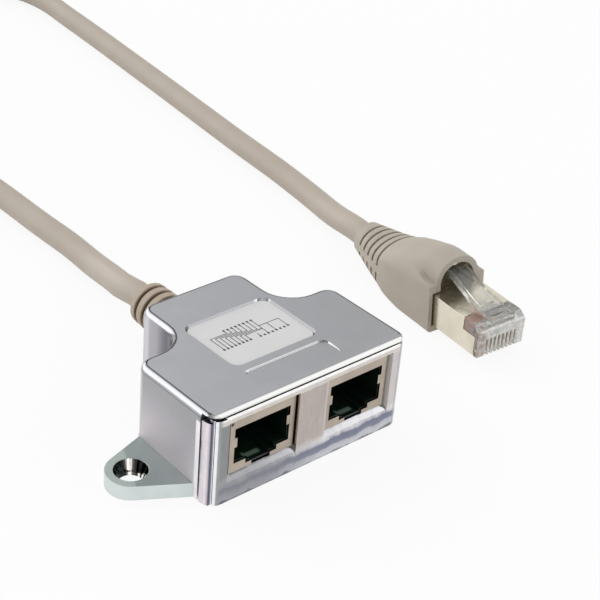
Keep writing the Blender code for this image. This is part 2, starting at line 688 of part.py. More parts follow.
def make_front_panel(finish):
    """The front panel: it wraps round both front corners and has two windows with sloping sills."""
    radius = CORNER_RADIUS - PANEL_SETBACK
    half = BODY_HALF - PANEL_SETBACK
    plan = (arc((-half + radius, PANEL_FRONT + radius), radius, 180, 270)
            + arc((half - radius, PANEL_FRONT + radius), radius, 270, 360)
            + [(half, PANEL_REAR), (-half, PANEL_REAR)])
    panel = place("front_panel", prism_mesh("front_panel", plan, COVER_LIFT, PANEL_TOP), finish)
    head = box_mesh("panel_head", (-BODY_HALF - CUT_OVER, PANEL_REAR - PANEL_HEAD_THICK, PANEL_HEAD_TOP),
                    (BODY_HALF + CUT_OVER, PANEL_REAR + CUT_OVER, HEIGHT))
    boolean(panel, place("panel_head", head))
    for mark, way in (("left", -1), ("right", 1)):
        inner, outer = way * (half - PANEL_STEP_WIDTH), way * (half + CUT_OVER)
        name = f"panel_step_{mark}"
        step = box_mesh(name, (min(inner, outer), PANEL_FRONT - CUT_OVER, PANEL_TOP - PANEL_STEP_DROP),
                        (max(inner, outer), PANEL_REAR + CUT_OVER, HEIGHT + CUT_OVER))
        boolean(panel, place(name, step))
        turn = math.radians(PANEL_GROOVE_ANGLE)
        at = (way * (half - radius + radius * math.cos(turn)),
              PANEL_FRONT + radius - radius * math.sin(turn), -CUT_OVER)
        name = f"panel_groove_{mark}"
        groove = round_mesh(name, at, PANEL_GROOVE_RADIUS, HEIGHT + CUT_OVER, steps=SMALL_STEPS)
        boolean(panel, place(name, groove))
        outer = way * (BODY_HALF - WALL - CLEAR)
        inner = outer - way * TONGUE_WIDTH
        name = f"panel_tongue_{mark}"
        tongue = box_mesh(name, (min(inner, outer), PANEL_REAR - PANEL_THICK / 2, TONGUE_BOTTOM),
                          (max(inner, outer), PANEL_REAR + TONGUE_LENGTH, TONGUE_TOP))
        boolean(panel, place(name, tongue), "UNION")

    sill, head_z = JACK_BOTTOM - CLEAR, JACK_TOP + CLEAR
    profile = [
        (PANEL_FRONT - CUT_OVER, sill - SILL_DROP),
        (PANEL_FRONT, sill - SILL_DROP),
        (PANEL_FRONT + SILL_SLOPE * 0.35, sill - SILL_DROP * 0.45),
        (PANEL_FRONT + SILL_SLOPE, sill),
        (PANEL_REAR + CUT_OVER, sill),
        (PANEL_REAR + CUT_OVER, head_z),
        (PANEL_FRONT - CUT_OVER, head_z),
    ]
    for side, x in jack_centres().items():
        name = f"window_{side}"
        way = math.copysign(1.0, x)
        inner = x - way * (JACK_WIDTH / 2 + WINDOW_INNER_MARGIN)
        outer = x + way * (JACK_WIDTH / 2 + WINDOW_OUTER_MARGIN)
        window = prism_mesh(name, profile, min(inner, outer), max(inner, outer), "X")
        boolean(panel, place(name, window))
    return panel


def cut_port(target, label, x, near, far, floor):
    """Cut a port that steps down to its latch notch, from near to far."""
    bottom = JACK_BOTTOM + PORT_BOTTOM
    step_z = bottom - LATCH_STEP_DROP
    levels = (
        ("wide", PORT_WIDTH / 2, bottom, bottom + PORT_HEIGHT, far),
        ("step", LATCH_STEP_WIDTH / 2, step_z, bottom + PORT_HEIGHT / 3, far - EDGE_CLEAR),
        ("notch", LATCH_NOTCH_WIDTH / 2, floor, bottom + PORT_HEIGHT / 4, far - 2 * EDGE_CLEAR),
    )
    for mark, half, low, high, end in levels:
        name = f"{label}_{mark}"
        cut = box_mesh(name, (x - half, near, low), (x + half, end, high))
        boolean(target, place(name, cut))


def make_jack_shield(side, x, finish):
    """The folded metal can round a jack, open below, with the port cut in its face."""
    half = JACK_WIDTH / 2
    name = f"jack_shield_{side}"
    shield = place(name, box_mesh(
        name, (x - half, JACK_FRONT, JACK_BOTTOM), (x + half, JACK_REAR, JACK_TOP)), finish)
    hollow = box_mesh(f"shield_hollow_{side}", (x - half + SHEET, JACK_FRONT + SHEET, JACK_BOTTOM - CUT_OVER),
                      (x + half - SHEET, JACK_REAR - SHEET, JACK_TOP - SHEET))
    boolean(shield, place(f"shield_hollow_{side}", hollow))
    cut_port(shield, f"shield_port_{side}", x, JACK_FRONT - CUT_OVER, JACK_FRONT + SHEET + CUT_OVER,
             JACK_BOTTOM - CUT_OVER)
    tab_z = JACK_BOTTOM + PORT_BOTTOM + TAB_HEIGHT
    for mark, way in (("a", -1), ("b", 1)):
        tab_name = f"shield_tab_{side}_{mark}"
        outer = x + way * (PORT_WIDTH / 2 + INSERT_WALL)
        inner = x + way * (PORT_WIDTH / 2 - TAB_REACH)
        tab = box_mesh(tab_name, (min(outer, inner), JACK_FRONT + EDGE_CLEAR / 2, tab_z),
                       (max(outer, inner), JACK_FRONT + SHEET - EDGE_CLEAR / 2, tab_z + TAB_WIDTH))
        boolean(shield, place(tab_name, tab), "UNION")
    return shield


def make_jack_insert(side, x, finish):
    """The moulded block inside a jack: the plug cavity, latch channel and contact window."""
    half = PORT_WIDTH / 2 + INSERT_WALL
    near = JACK_FRONT + SHEET + FINE_CLEAR
    far = near + PORT_DEPTH + REAR_WALL
    name = f"jack_insert_{side}"
    insert = place(name, box_mesh(
        name, (x - half, near, JACK_BOTTOM), (x + half, far, JACK_TOP - SHEET - FINE_CLEAR)), finish)
    cut_port(insert, f"insert_cavity_{side}", x, near - CUT_OVER, near + PORT_DEPTH, JACK_BOTTOM + PORT_FLOOR)
    reach = contact_half()
    window_near = near + CONTACT_FOLD - CLEAR - CONTACT_RADIUS
    window = box_mesh(f"insert_window_{side}",
                      (x - reach, window_near, contact_roof() - CONTACT_DROP),
                      (x + reach, far + CUT_OVER, JACK_TOP))
    boolean(insert, place(f"insert_window_{side}", window))
    return insert


def contact_half():
    """Half the width of the slot that a jack's contacts run in."""
    return (CONTACT_COUNT - 1) * CONTACT_PITCH / 2 + CONTACT_RADIUS + CLEAR


def contact_roof():
    """The height at which the contacts run forward under the can's roof."""
    return JACK_TOP - SHEET - CLEAR - CONTACT_RADIUS


def make_jack_contacts(side, x, finish):
    """Eight sprung wires: up from the board, forward under the roof and folded back into the port."""
    near = JACK_FRONT + SHEET + FINE_CLEAR
    riser_y = near + PORT_DEPTH + REAR_WALL + CONTACT_ROOM / 2
    roof = contact_roof()
    fold = near + CONTACT_FOLD
    bend = 2 * CONTACT_RADIUS
    made = []
    for index in range(CONTACT_COUNT):
        wire_x = x + (index - (CONTACT_COUNT - 1) / 2) * CONTACT_PITCH
        path = [
            (riser_y, BOARD_TOP + CLEAR),
            (riser_y, roof - bend),
            (riser_y - bend, roof),
            (fold + bend, roof),
            (fold, roof - bend),
            (fold + bend, roof - 2 * bend),
            (fold + CONTACT_REACH, roof - CONTACT_DROP + 2 * CONTACT_RADIUS),
        ]
        points = [(wire_x, y, z) for y, z in path]
        made.append(tube(f"jack_contact_{side}_{index + 1}", points, CONTACT_RADIUS, finish, 1))
    return made


def make_board(finish):
    """The circuit board under the jacks, with clearance round the cover's bosses."""
    near = PANEL_REAR + CLEAR
    half = BODY_HALF - WALL - CLEAR - LUG_INNER - 2 * CLEAR
    far = SHOULDER - WALL - CLEAR
    board = place("circuit_board", box_mesh(
        "circuit_board", (-half, near, BOARD_BOTTOM), (half, far, BOARD_TOP)), finish)
    neck = NECK_HALF - WALL - CLEAR - BOSS_RADIUS / 2
    tail = box_mesh("board_tail", (-neck, far - WALL, BOARD_BOTTOM),
                    (neck, far + BOARD_NECK_LENGTH, BOARD_TOP))
    boolean(board, place("board_tail", tail), "UNION")
    for index, (x, y) in enumerate(boss_places()):
        name = f"board_hole_{index + 1}"
        hole = round_mesh(name, (x, y, BOARD_BOTTOM - CUT_OVER), BOSS_RADIUS + CLEAR,
                          BOARD_THICK + 2 * CUT_OVER, steps=ROUND_STEPS)
        boolean(board, place(name, hole))
    return board


def make_label(finish):
    """The label in its recess on the roof."""
    near = FRONT + LABEL_FROM_FRONT
    plan = rounded_rectangle(LABEL_WIDTH / 2, near, near + LABEL_LENGTH, LABEL_CORNER)
    film_top = HEIGHT - LABEL_SINK
    film = prism_mesh("label", plan, film_top - LABEL_THICK, film_top)
    follow_roof(film, HEIGHT / 2)
    return place("label", film, finish)


def turned(name, profile, finish, origin, turn, parent=None):
    """A solid of revolution from a half profile of (radius, height), outer side top to bottom."""
    mesh = bpy.data.meshes.new(name)
    shape = bmesh.new()
    is_ring = profile[0] == profile[-1]
    corners = [shape.verts.new((radius, 0.0, height)) for radius, height in profile[:-1 if is_ring else None]]
    if is_ring:
        corners.append(corners[0])
    for first, second in zip(corners, corners[1:]):
        shape.edges.new((first, second))
    shape.to_mesh(mesh)
    shape.free()
    made = place(name, mesh, finish, parent)
    made.location = origin
    made.rotation_euler = turn
    spin = made.modifiers.new("spin", "SCREW")
    spin.steps = ROUND_STEPS
    spin.render_steps = ROUND_STEPS
    spin.use_merge_vertices = True
    spin.merge_threshold = 0.000001
    spin.use_smooth_shade = True
    return made


def make_screws(finish):
    """Countersunk screws from below, with a cross recess in each head."""
    for index, (x, y) in enumerate(boss_places()):
        name = f"screw_{index + 1}"
        bottom = EDGE_CLEAR
        neck = bottom + SCREW_HEAD_HEIGHT
        tip = bottom + SCREW_LENGTH
        profile = [
            (0.0, tip),
            (SCREW_RADIUS * 0.6, tip),
            (SCREW_RADIUS, tip - SCREW_RADIUS * 0.5),
            (SCREW_RADIUS, neck),
            (SCREW_HEAD_RADIUS, bottom),
            (0.0, bottom),
        ]
        screw = turned(name, profile, finish, (x, y, 0.0), (0.0, 0.0, 0.0))
        arm, slot = SCREW_HEAD_RADIUS * 0.6, SCREW_HEAD_RADIUS * 0.14
        for mark, (wide, deep) in (("a", (arm, slot)), ("b", (slot, arm))):
            cross_name = f"cross_{index + 1}_{mark}"
            cross = box_mesh(cross_name, (x - wide, y - deep, bottom - CUT_OVER),
                             (x + wide, y + deep, bottom + SCREW_HEAD_HEIGHT * 0.5))
            boolean(screw, place(cross_name, cross))


def make_strain_relief(finish):
    """The ringed strain relief, with a waist in the rear wall and a flange inside it."""
    waist_front = -(CLEAR + WALL + CLEAR)
    flange_front = waist_front - RELIEF_FLANGE
    tip = RELIEF_LENGTH
    profile = [(BORE_RADIUS, tip), (RELIEF_TIP_RADIUS - RING_GROOVE / 2, tip),
               (RELIEF_TIP_RADIUS, tip - RING_GROOVE / 2)]
    for ring in range(RING_COUNT):
        groove = tip - (ring + 1) * RING_PITCH + RING_GROOVE
        outer = RELIEF_TIP_RADIUS + (RELIEF_ROOT_RADIUS - RELIEF_TIP_RADIUS) * (tip - groove) / RELIEF_LENGTH
        profile += [(outer, groove), (outer - RING_DEPTH, groove), (outer - RING_DEPTH, groove - RING_GROOVE),
                    (outer, groove - RING_GROOVE)]
    profile += [(RELIEF_ROOT_RADIUS, 0.0), (RELIEF_WAIST_RADIUS, 0.0),
                (RELIEF_WAIST_RADIUS, waist_front), (RELIEF_FLANGE_RADIUS, waist_front),
                (RELIEF_FLANGE_RADIUS, flange_front), (BORE_RADIUS, flange_front), (BORE_RADIUS, tip)]
    return turned("strain_relief", profile, finish, (0.0, REAR + CLEAR, CABLE_HEIGHT),
                  (-math.pi / 2, 0.0, 0.0))


def make_clamp(finish):
    """The clamp that holds the lead down on the base."""
    outer = BORE_RADIUS + CLAMP_WALL
    bottom = BASE_THICK + CLEAR
    outline = arc((0.0, CABLE_HEIGHT), outer, 0, 180, 2 * ARC_STEPS) + [(-outer, bottom), (outer, bottom)]
    near = CLAMP_REAR - CLAMP_WIDTH
    clamp = place("cable_clamp", prism_mesh("cable_clamp", outline, near, CLAMP_REAR, "Y"), finish)
    bore = round_mesh("clamp_bore", (0.0, near - CUT_OVER, CABLE_HEIGHT), BORE_RADIUS,
                      CLAMP_WIDTH + 2 * CUT_OVER, axis="Y")
    boolean(clamp, place("clamp_bore", bore))
    return clamp


def make_conductors(finishes):
    """Eight conductors from the lead's cut end down to the board."""
    board_y = SHOULDER - WALL - CLEAR + BOARD_NECK_LENGTH
    for index in range(CONTACT_COUNT):
        row, place_in_row = divmod(index, CONTACT_COUNT // 2)
        middle = (CONTACT_COUNT // 2 - 1) / 2
        start_x = (place_in_row - middle) * CONDUCTOR_PITCH
        start_z = CABLE_HEIGHT + (0.5 - row) * CONDUCTOR_PITCH
        end_x = (index % 4 - middle) * 2 * CONDUCTOR_PITCH + (row - 0.5) * CONDUCTOR_PITCH
        end_y = board_y - CONDUCTOR_EDGE - CONDUCTOR_ROW_GAP * (1 - row)
        points = [
            (start_x, CABLE_END - CLEAR, start_z),
            (start_x, CABLE_END - CLEAR - CONDUCTOR_STUB, start_z),
            ((start_x + 2 * end_x) / 3, end_y + CONDUCTOR_LEAN, start_z - CONDUCTOR_SAG),
            (end_x, end_y, start_z - CONDUCTOR_DROP),
            (end_x, end_y, BOARD_TOP + CLEAR),
        ]
        tube(f"conductor_{index + 1}", points, CONDUCTOR_RADIUS, finishes[index % len(finishes)], 1)


def plug_frame():
    """The empty that carries the plug: Y runs from its nose back to the lead."""
    carrier = bpy.data.objects.new("plug_carrier", None)
    bpy.data.collections[MODEL].objects.link(carrier)
    carrier.location = PLUG_PLACE
    carrier.rotation_euler = (0.0, 0.0, PLUG_TURN)
    return carrier


def lever_heights():
    """The latch lever's underside, seen from the side, from its root on the nose to its tail."""
    root = PLUG_BOTTOM + PLUG_HEIGHT - LEVER_THICK * 0.4
    rise = []
    for share, lift in ((0.0, 0.0), (0.13, 0.014), (0.26, 0.18), (0.45, 0.41), (0.63, 0.69), (0.77, 0.93),
                        (0.87, 0.985), (1.0, 1.0)):
        rise.append((LEVER_ROOT + share * (LEVER_LENGTH - LEVER_ROOT), root + lift * LEVER_RISE))
    return rise


def make_plug_body(finish, carrier):
    """The clear moulding of the plug, with its latch lever in one piece."""
    half = PLUG_WIDTH / 2
    bottom, top = PLUG_BOTTOM, PLUG_BOTTOM + PLUG_HEIGHT
    profile = [(0.0, bottom), (PLUG_LENGTH, bottom), (PLUG_LENGTH, top), (PLUG_CHAMFER, top),
               (0.0, top - PLUG_NOSE_DROP)]
    body = place("plug_body", prism_mesh("plug_body", profile, -half, half, "X"), finish, carrier)

    relief = PLUG_SHEET + FINE_CLEAR
    for mark, way in (("a", -1), ("b", 1)):
        inner, outer = way * (half - relief), way * (half + CUT_OVER)
        for part, near, far, high in (
                ("cheek", PLUG_NOSE, CHEEK_LENGTH, bottom + CHEEK_TOP + FINE_CLEAR),
                ("side", CHEEK_LENGTH - FINE_CLEAR, PLUG_LENGTH + CUT_OVER, top + CUT_OVER)):
            name = f"plug_{part}_relief_{mark}"
            side = box_mesh(name, (min(inner, outer), near, bottom - CUT_OVER),
                            (max(inner, outer), far, high))
            boolean(body, place(name, side, parent=carrier))
    for mark, low, high in (("a", bottom - CUT_OVER, bottom + relief), ("b", top - relief, top + CUT_OVER)):
        name = f"plug_sleeve_relief_{mark}"
        flat = box_mesh(name, (-half - CUT_OVER, SLEEVE_START - FINE_CLEAR, low),
                        (half + CUT_OVER, PLUG_LENGTH + CUT_OVER, high))
        boolean(body, place(name, flat, parent=carrier))

    under = lever_heights()
    over = [(y, z + LEVER_THICK) for y, z in reversed(under)]
    side_view = prism_mesh("lever_side", under + over, -LEVER_WIDTH, LEVER_WIDTH, "X")
    lever = place("lever_side", side_view, parent=carrier)
    wide, slim = LEVER_WIDTH / 2, LEVER_TAIL_WIDTH / 2
    waist = LEVER_SHOULDER + LEVER_TAPER
    plan = [(-wide, 0.0), (wide, 0.0), (wide, LEVER_SHOULDER), (slim, waist), (slim, LEVER_LENGTH + CUT_OVER),
            (-slim, LEVER_LENGTH + CUT_OVER), (-slim, waist), (-wide, LEVER_SHOULDER)]
    lever_plan = prism_mesh("lever_plan", plan, bottom, top + LEVER_RISE + 2 * LEVER_THICK)
    boolean(lever, place("lever_plan", lever_plan, parent=carrier), "INTERSECT")
    boolean(body, lever, "UNION")
    root = box_mesh("lever_root", (-wide, LEVER_ROOT / 2, top - 2 * LEVER_ROOT_STEP),
                    (wide, LEVER_ROOT + 2 * LEVER_THICK, top + LEVER_ROOT_STEP))
    boolean(body, place("lever_root", root, parent=carrier), "UNION")

    floor = [(y, z + LEVER_THICK - RAIL_HEIGHT) for y, z in under[2:]]
    sky = [(y, z + LEVER_THICK + CUT_OVER) for y, z in reversed(under[2:])]
    trough_half = slim - RAIL_WIDTH
    trough = prism_mesh("lever_trough", floor + sky, -trough_half, trough_half, "X")
    boolean(body, place("lever_trough", trough, parent=carrier))
    hinge = box_mesh("hinge_slot", (-HINGE_SLOT_WIDTH / 2, HINGE_SLOT_FROM_NOSE - HINGE_SLOT_GAP / 2,
                                    top + LEVER_ROOT_STEP - HINGE_SLOT_DEPTH),
                     (HINGE_SLOT_WIDTH / 2, HINGE_SLOT_FROM_NOSE + HINGE_SLOT_GAP / 2,
                      top + LEVER_ROOT_STEP + CUT_OVER))
    boolean(body, place("hinge_slot", hinge, parent=carrier))

    pocket_top = top - relief - WIRE_POCKET_ROOF
    pocket_low = pocket_top - WIRE_POCKET_HEIGHT
    pocket = box_mesh("wire_pocket", (-WIRE_POCKET_WIDTH / 2, WIRE_POCKET_START, pocket_low),
                      (WIRE_POCKET_WIDTH / 2, PLUG_LENGTH + CUT_OVER, pocket_top))
    boolean(body, place("wire_pocket", pocket, parent=carrier))

    for index in range(CONTACT_COUNT):
        name = f"blade_slot_{index + 1}"
        x = (index - (CONTACT_COUNT - 1) / 2) * PLUG_PITCH
        wide = BLADE_THICK / 2 + EDGE_CLEAR
        slot = box_mesh(name, (x - wide, -CUT_OVER, bottom - CUT_OVER),
                        (x + wide, BLADE_SETBACK + BLADE_LENGTH + FINE_CLEAR, bottom + SLOT_HEIGHT))
        boolean(body, place(name, slot, parent=carrier))
    return body


def make_plug_shield(finish, carrier):
    """The plug's metal shell: two cheeks in front and a closed sleeve behind them."""
    half = PLUG_WIDTH / 2
    bottom, top = PLUG_BOTTOM, PLUG_BOTTOM + PLUG_HEIGHT
    end = PLUG_LENGTH - SLEEVE_END_GAP
    shell = place("plug_shield", box_mesh(
        "plug_shield", (-half, PLUG_NOSE + FINE_CLEAR, bottom), (half, end, top)), finish, carrier)
    inside = box_mesh("shield_inside", (-half + PLUG_SHEET, 0.0, bottom + PLUG_SHEET),
                      (half - PLUG_SHEET, end + CUT_OVER, top - PLUG_SHEET))
    boolean(shell, place("shield_inside", inside, parent=carrier))
    front = box_mesh("shield_front", (-half + PLUG_SHEET, 0.0, bottom - CUT_OVER),
                     (half - PLUG_SHEET, SLEEVE_START, top + CUT_OVER))
    boolean(shell, place("shield_front", front, parent=carrier))
    brow = box_mesh("shield_brow", (-half - CUT_OVER, 0.0, bottom + CHEEK_TOP),
                    (half + CUT_OVER, CHEEK_LENGTH, top + CUT_OVER))
    boolean(shell, place("shield_brow", brow, parent=carrier))
    return shell


def make_plug_contacts(finish, carrier):
    """Eight blades in the slots at the nose, rounded where they meet a jack's wires."""
    low = PLUG_BOTTOM + EDGE_CLEAR * 2
    high = low + BLADE_HEIGHT
    near, far = BLADE_SETBACK, BLADE_SETBACK + BLADE_LENGTH
    bend = BLADE_HEIGHT / 3
    outline = ([(far, low), (far, high), (near, high)]
               + arc((near + bend, low + bend), bend, 180, 270, 4))
    for index in range(CONTACT_COUNT):
        name = f"plug_contact_{index + 1}"
        x = (index - (CONTACT_COUNT - 1) / 2) * PLUG_PITCH
        blade = prism_mesh(name, outline, x - BLADE_THICK / 2, x + BLADE_THICK / 2, "X")
        place(name, blade, finish, carrier)


def make_load_bar(finish, carrier):
    """The ribbon of eight wires that lies in the plug's pocket."""
    top = PLUG_BOTTOM + PLUG_HEIGHT - PLUG_SHEET - FINE_CLEAR - WIRE_POCKET_ROOF
    middle = top - WIRE_POCKET_HEIGHT / 2
    radius = WIRE_POCKET_HEIGHT / 2 - CLEAR
    half = (CONTACT_COUNT - 1) * PLUG_PITCH / 2
    dip = math.degrees(math.asin(min(PLUG_PITCH / 2 / radius, 1.0)))
    upper, lower = [], []
    for index in range(CONTACT_COUNT):
        x = -half + index * PLUG_PITCH
        first = 0.0 if index == 0 else 90.0 - dip
        last = 0.0 if index == CONTACT_COUNT - 1 else 90.0 - dip
        lower += arc((x, middle), radius, 180.0 + first, 360.0 - last, 4)
        x = half - index * PLUG_PITCH
        first = 0.0 if index == 0 else 90.0 - dip
        last = 0.0 if index == CONTACT_COUNT - 1 else 90.0 - dip
        upper += arc((x, middle), radius, first, 180.0 - last, 4)
    outline = []
    for point in lower + upper:
        if not outline or (Vector(point) - Vector(outline[-1])).length > 0.01 * MM:
            outline.append(point)
    if (Vector(outline[0]) - Vector(outline[-1])).length < 0.01 * MM:
        outline.pop()
    near = WIRE_POCKET_START + CLEAR
    ribbon = prism_mesh("wire_ribbon", outline, near, near + LOAD_BAR_LENGTH, "Y")
    place("wire_ribbon", ribbon, finish, carrier)


BOOT_STATIONS = [
    (0.0, 0.0, 1.0, 0.0), (0.07, 0.0, 1.0, 0.03), (0.12, 0.0, 1.0, 0.15), (0.175, 0.0, 0.99, 0.5),
    (0.245, 0.0, 0.9, 0.85), (0.34, 0.0, 0.7, 1.0), (0.435, 0.02, 0.52, 1.0), (0.53, 0.08, 0.33, 1.0),
    (0.625, 0.24, 0.12, 1.0), (0.695, 0.35, 0.04, 1.0), (0.75, 0.45, 0.0, 1.0), (0.85, 0.66, 0.0, 1.0),
    (0.93, 0.84, 0.0, 1.0), (1.0, 1.0, 0.0, 1.0),
]


def boot_section(taper, hood, spread, shrink=0.0):
    """One cross-section of the boot: a box that carries a hood, blended into a dome by its spread."""
    half = BOOT_HALF + (BOOT_END_RADIUS - BOOT_HALF) * taper - shrink
    bottom = (PLUG_AXIS - BOOT_END_RADIUS) * taper + shrink
    top = BOOT_BODY_TOP + (PLUG_AXIS + BOOT_END_RADIUS - BOOT_BODY_TOP) * taper - shrink
    limit = min(half, (top - bottom) / 2) * 0.97
    round_share = math.sqrt(taper)
    low = BOOT_CORNER + (limit - BOOT_CORNER) * round_share
    high = BOOT_BLEND + (limit - BOOT_BLEND) * round_share
    rise = hood * HOOD_RISE
    flat = half - BOOT_EDGE
    arch = min(HOOD_WIDTH / 2, flat)
    boxed = arc((flat, top - BOOT_EDGE), BOOT_EDGE, 0, 90, 4)
    for step in range(7):
        angle = math.pi / 2 * step / 6
        boxed.append((arch * math.cos(angle), top + rise * math.sin(angle) ** 0.9))
    right = []
    for index, (x, z) in enumerate(boxed):
        angle = math.pi / 2 * index / (len(boxed) - 1)
        dome_x = half * math.cos(angle)
        dome_z = top - high + (high + rise) * math.sin(angle)
        right.append((x + (dome_x - x) * spread, z + (dome_z - z) * spread))
    right[-1] = (0.0, right[-1][1])
    left = [(-x, z) for x, z in reversed(right[:-1])]
    side = half - low
    return (arc((-side, bottom + low), low, 180, 270, 4) + arc((side, bottom + low), low, 270, 360, 4)
            + right + left)


def loft_mesh(name, sections):
    """Faces between leaning sections with the same number of points, and a cap at each end."""
    shape = bmesh.new()
    rings = [[shape.verts.new((x, y + lean * z, z)) for x, z in points] for y, lean, points in sections]
    for first, second in zip(rings, rings[1:]):
        count = len(first)
        for i in range(count):
            follow = (i + 1) % count
            shape.faces.new((first[i], first[follow], second[follow], second[i]))
    shape.faces.new(list(reversed(rings[0])))
    shape.faces.new(rings[-1])
    bmesh.ops.recalc_face_normals(shape, faces=shape.faces)
    mesh = bpy.data.meshes.new(name)
    shape.to_mesh(mesh)
    shape.free()
    mesh.shade_smooth()
    return mesh


def boot_loft(name, shrink=0.0, over=0.0):
    """The boot's outer form, or a smaller copy of it that reaches past both ends."""
    sections = []
    for share, taper, hood, spread in BOOT_STATIONS:
        y = PLUG_SHOWN + share * BOOT_LENGTH
        lean = MOUTH_LEAN * max(1.0 - share / MOUTH_LEAN_SHARE, 0.0)
        if share == 0.0:
            y -= over
        if share == 1.0:
            y += over
        sections.append((y, lean, boot_section(taper, hood, spread, shrink)))
    return loft_mesh(name, sections)


def make_boot(finish, carrier):
    """The soft boot: plug pocket, arched hood over the latch, cable bore and bending grooves."""
    boot = place("plug_boot", boot_loft("plug_boot"), finish, carrier)

    half = PLUG_WIDTH / 2 + CLEAR
    near = PLUG_SHOWN - CUT_OVER
    pocket = box_mesh("plug_pocket", (-half, near, PLUG_BOTTOM - CLEAR),
                      (half, PLUG_LENGTH + CLEAR, PLUG_BOTTOM + PLUG_HEIGHT + CLEAR))
    boolean(boot, place("plug_pocket", pocket, parent=carrier))

    arch_half = HOOD_WIDTH / 2 - HOOD_WALL
    spring = BOOT_BODY_TOP
    inner_top = BOOT_BODY_TOP + HOOD_RISE - HOOD_WALL
    arch = (arc((0.0, spring), arch_half, 0, 180, 2 * ARC_STEPS, inner_top - spring)
            + [(-arch_half, PLUG_BOTTOM + PLUG_HEIGHT / 2), (arch_half, PLUG_BOTTOM + PLUG_HEIGHT / 2)])
    hood_mesh = prism_mesh("hood_hollow", arch, -CUT_OVER, HOOD_DEPTH, "Y")
    hood = place("hood_hollow", hood_mesh, parent=carrier)
    pivot = Matrix.Translation((0.0, 0.0, spring))
    hood_mesh.transform(pivot @ Matrix.Rotation(-HOOD_TILT, 4, "X") @ pivot.inverted())
    hood.location = (0.0, PLUG_SHOWN, 0.0)
    boolean(boot, hood)

    bore = round_mesh("boot_bore", (0.0, PLUG_LENGTH, PLUG_AXIS), BORE_RADIUS,
                      BOOT_END - PLUG_LENGTH + CUT_OVER, axis="Y")
    boolean(boot, place("boot_bore", bore, parent=carrier))

    core = place("boot_core", boot_loft("boot_core", GROOVE_DEPTH, CUT_OVER), parent=carrier)
    span = BOOT_HALF + CUT_OVER
    for index in range(GROOVE_COUNT):
        y = BOOT_END - GROOVE_FROM_END - index * GROOVE_PITCH
        for mark, low, high in (("over", PLUG_AXIS + GROOVE_RIB / 2, BOOT_BODY_TOP + HOOD_RISE),
                                ("under", -CUT_OVER, PLUG_AXIS - GROOVE_RIB / 2)):
            name = f"groove_{index + 1}_{mark}"
            slab = place(name, box_mesh(name, (-span, y - GROOVE_WIDTH / 2, low),
                                        (span, y + GROOVE_WIDTH / 2, high)), parent=carrier)
            boolean(slab, core)
            boolean(boot, slab)
    return boot


def smooth_route(points, spacing):
    """Evenly spaced points on a smooth curve through the chosen ones."""
    anchors = [Vector(point) for point in points]
    anchors = [2 * anchors[0] - anchors[1]] + anchors + [2 * anchors[-1] - anchors[-2]]
    fine = []
    for before, start, end, after in zip(anchors, anchors[1:], anchors[2:], anchors[3:]):
        for step in range(20):
            t = step / 20
            fine.append(0.5 * (2 * start + (end - before) * t
                               + (2 * before - 5 * start + 4 * end - after) * t ** 2
                               + (3 * start - before - 3 * end + after) * t ** 3))
    fine.append(anchors[-2])
    lengths = [0.0]
    for first, second in zip(fine, fine[1:]):
        lengths.append(lengths[-1] + (second - first).length)
    count = round(lengths[-1] / spacing)
    even, at = [], 0
    for index in range(count + 1):
        wanted = lengths[-1] * index / count
        while at < len(lengths) - 2 and lengths[at + 1] < wanted:
            at += 1
        share = (wanted - lengths[at]) / (lengths[at + 1] - lengths[at])
        even.append(fine[at].lerp(fine[at + 1], share))
    return even


def lead_points():
    """The whole lead: out of the clamp, over the table and into the boot."""
    carrier = Matrix.Translation(PLUG_PLACE) @ Matrix.Rotation(PLUG_TURN, 4, "Z")
    exit_point = RELIEF_TIP
    start = [(0.0, y, CABLE_HEIGHT) for y in (CABLE_END, (CABLE_END + exit_point) / 2, exit_point,
                                              exit_point + EXIT_STRAIGHT)]
    free = [(x * MM, y * MM, z * MM) for x, y, z in LEAD_ROUTE_MM]
    last = PLUG_LENGTH + 2 * CLEAR
    finish = [carrier @ Vector((0.0, y, PLUG_AXIS)) for y in (BOOT_END + EXIT_STRAIGHT, BOOT_END,
                                                              (BOOT_END + last) / 2, last)]
    return smooth_route(start + free + finish, LEAD_SPACING)


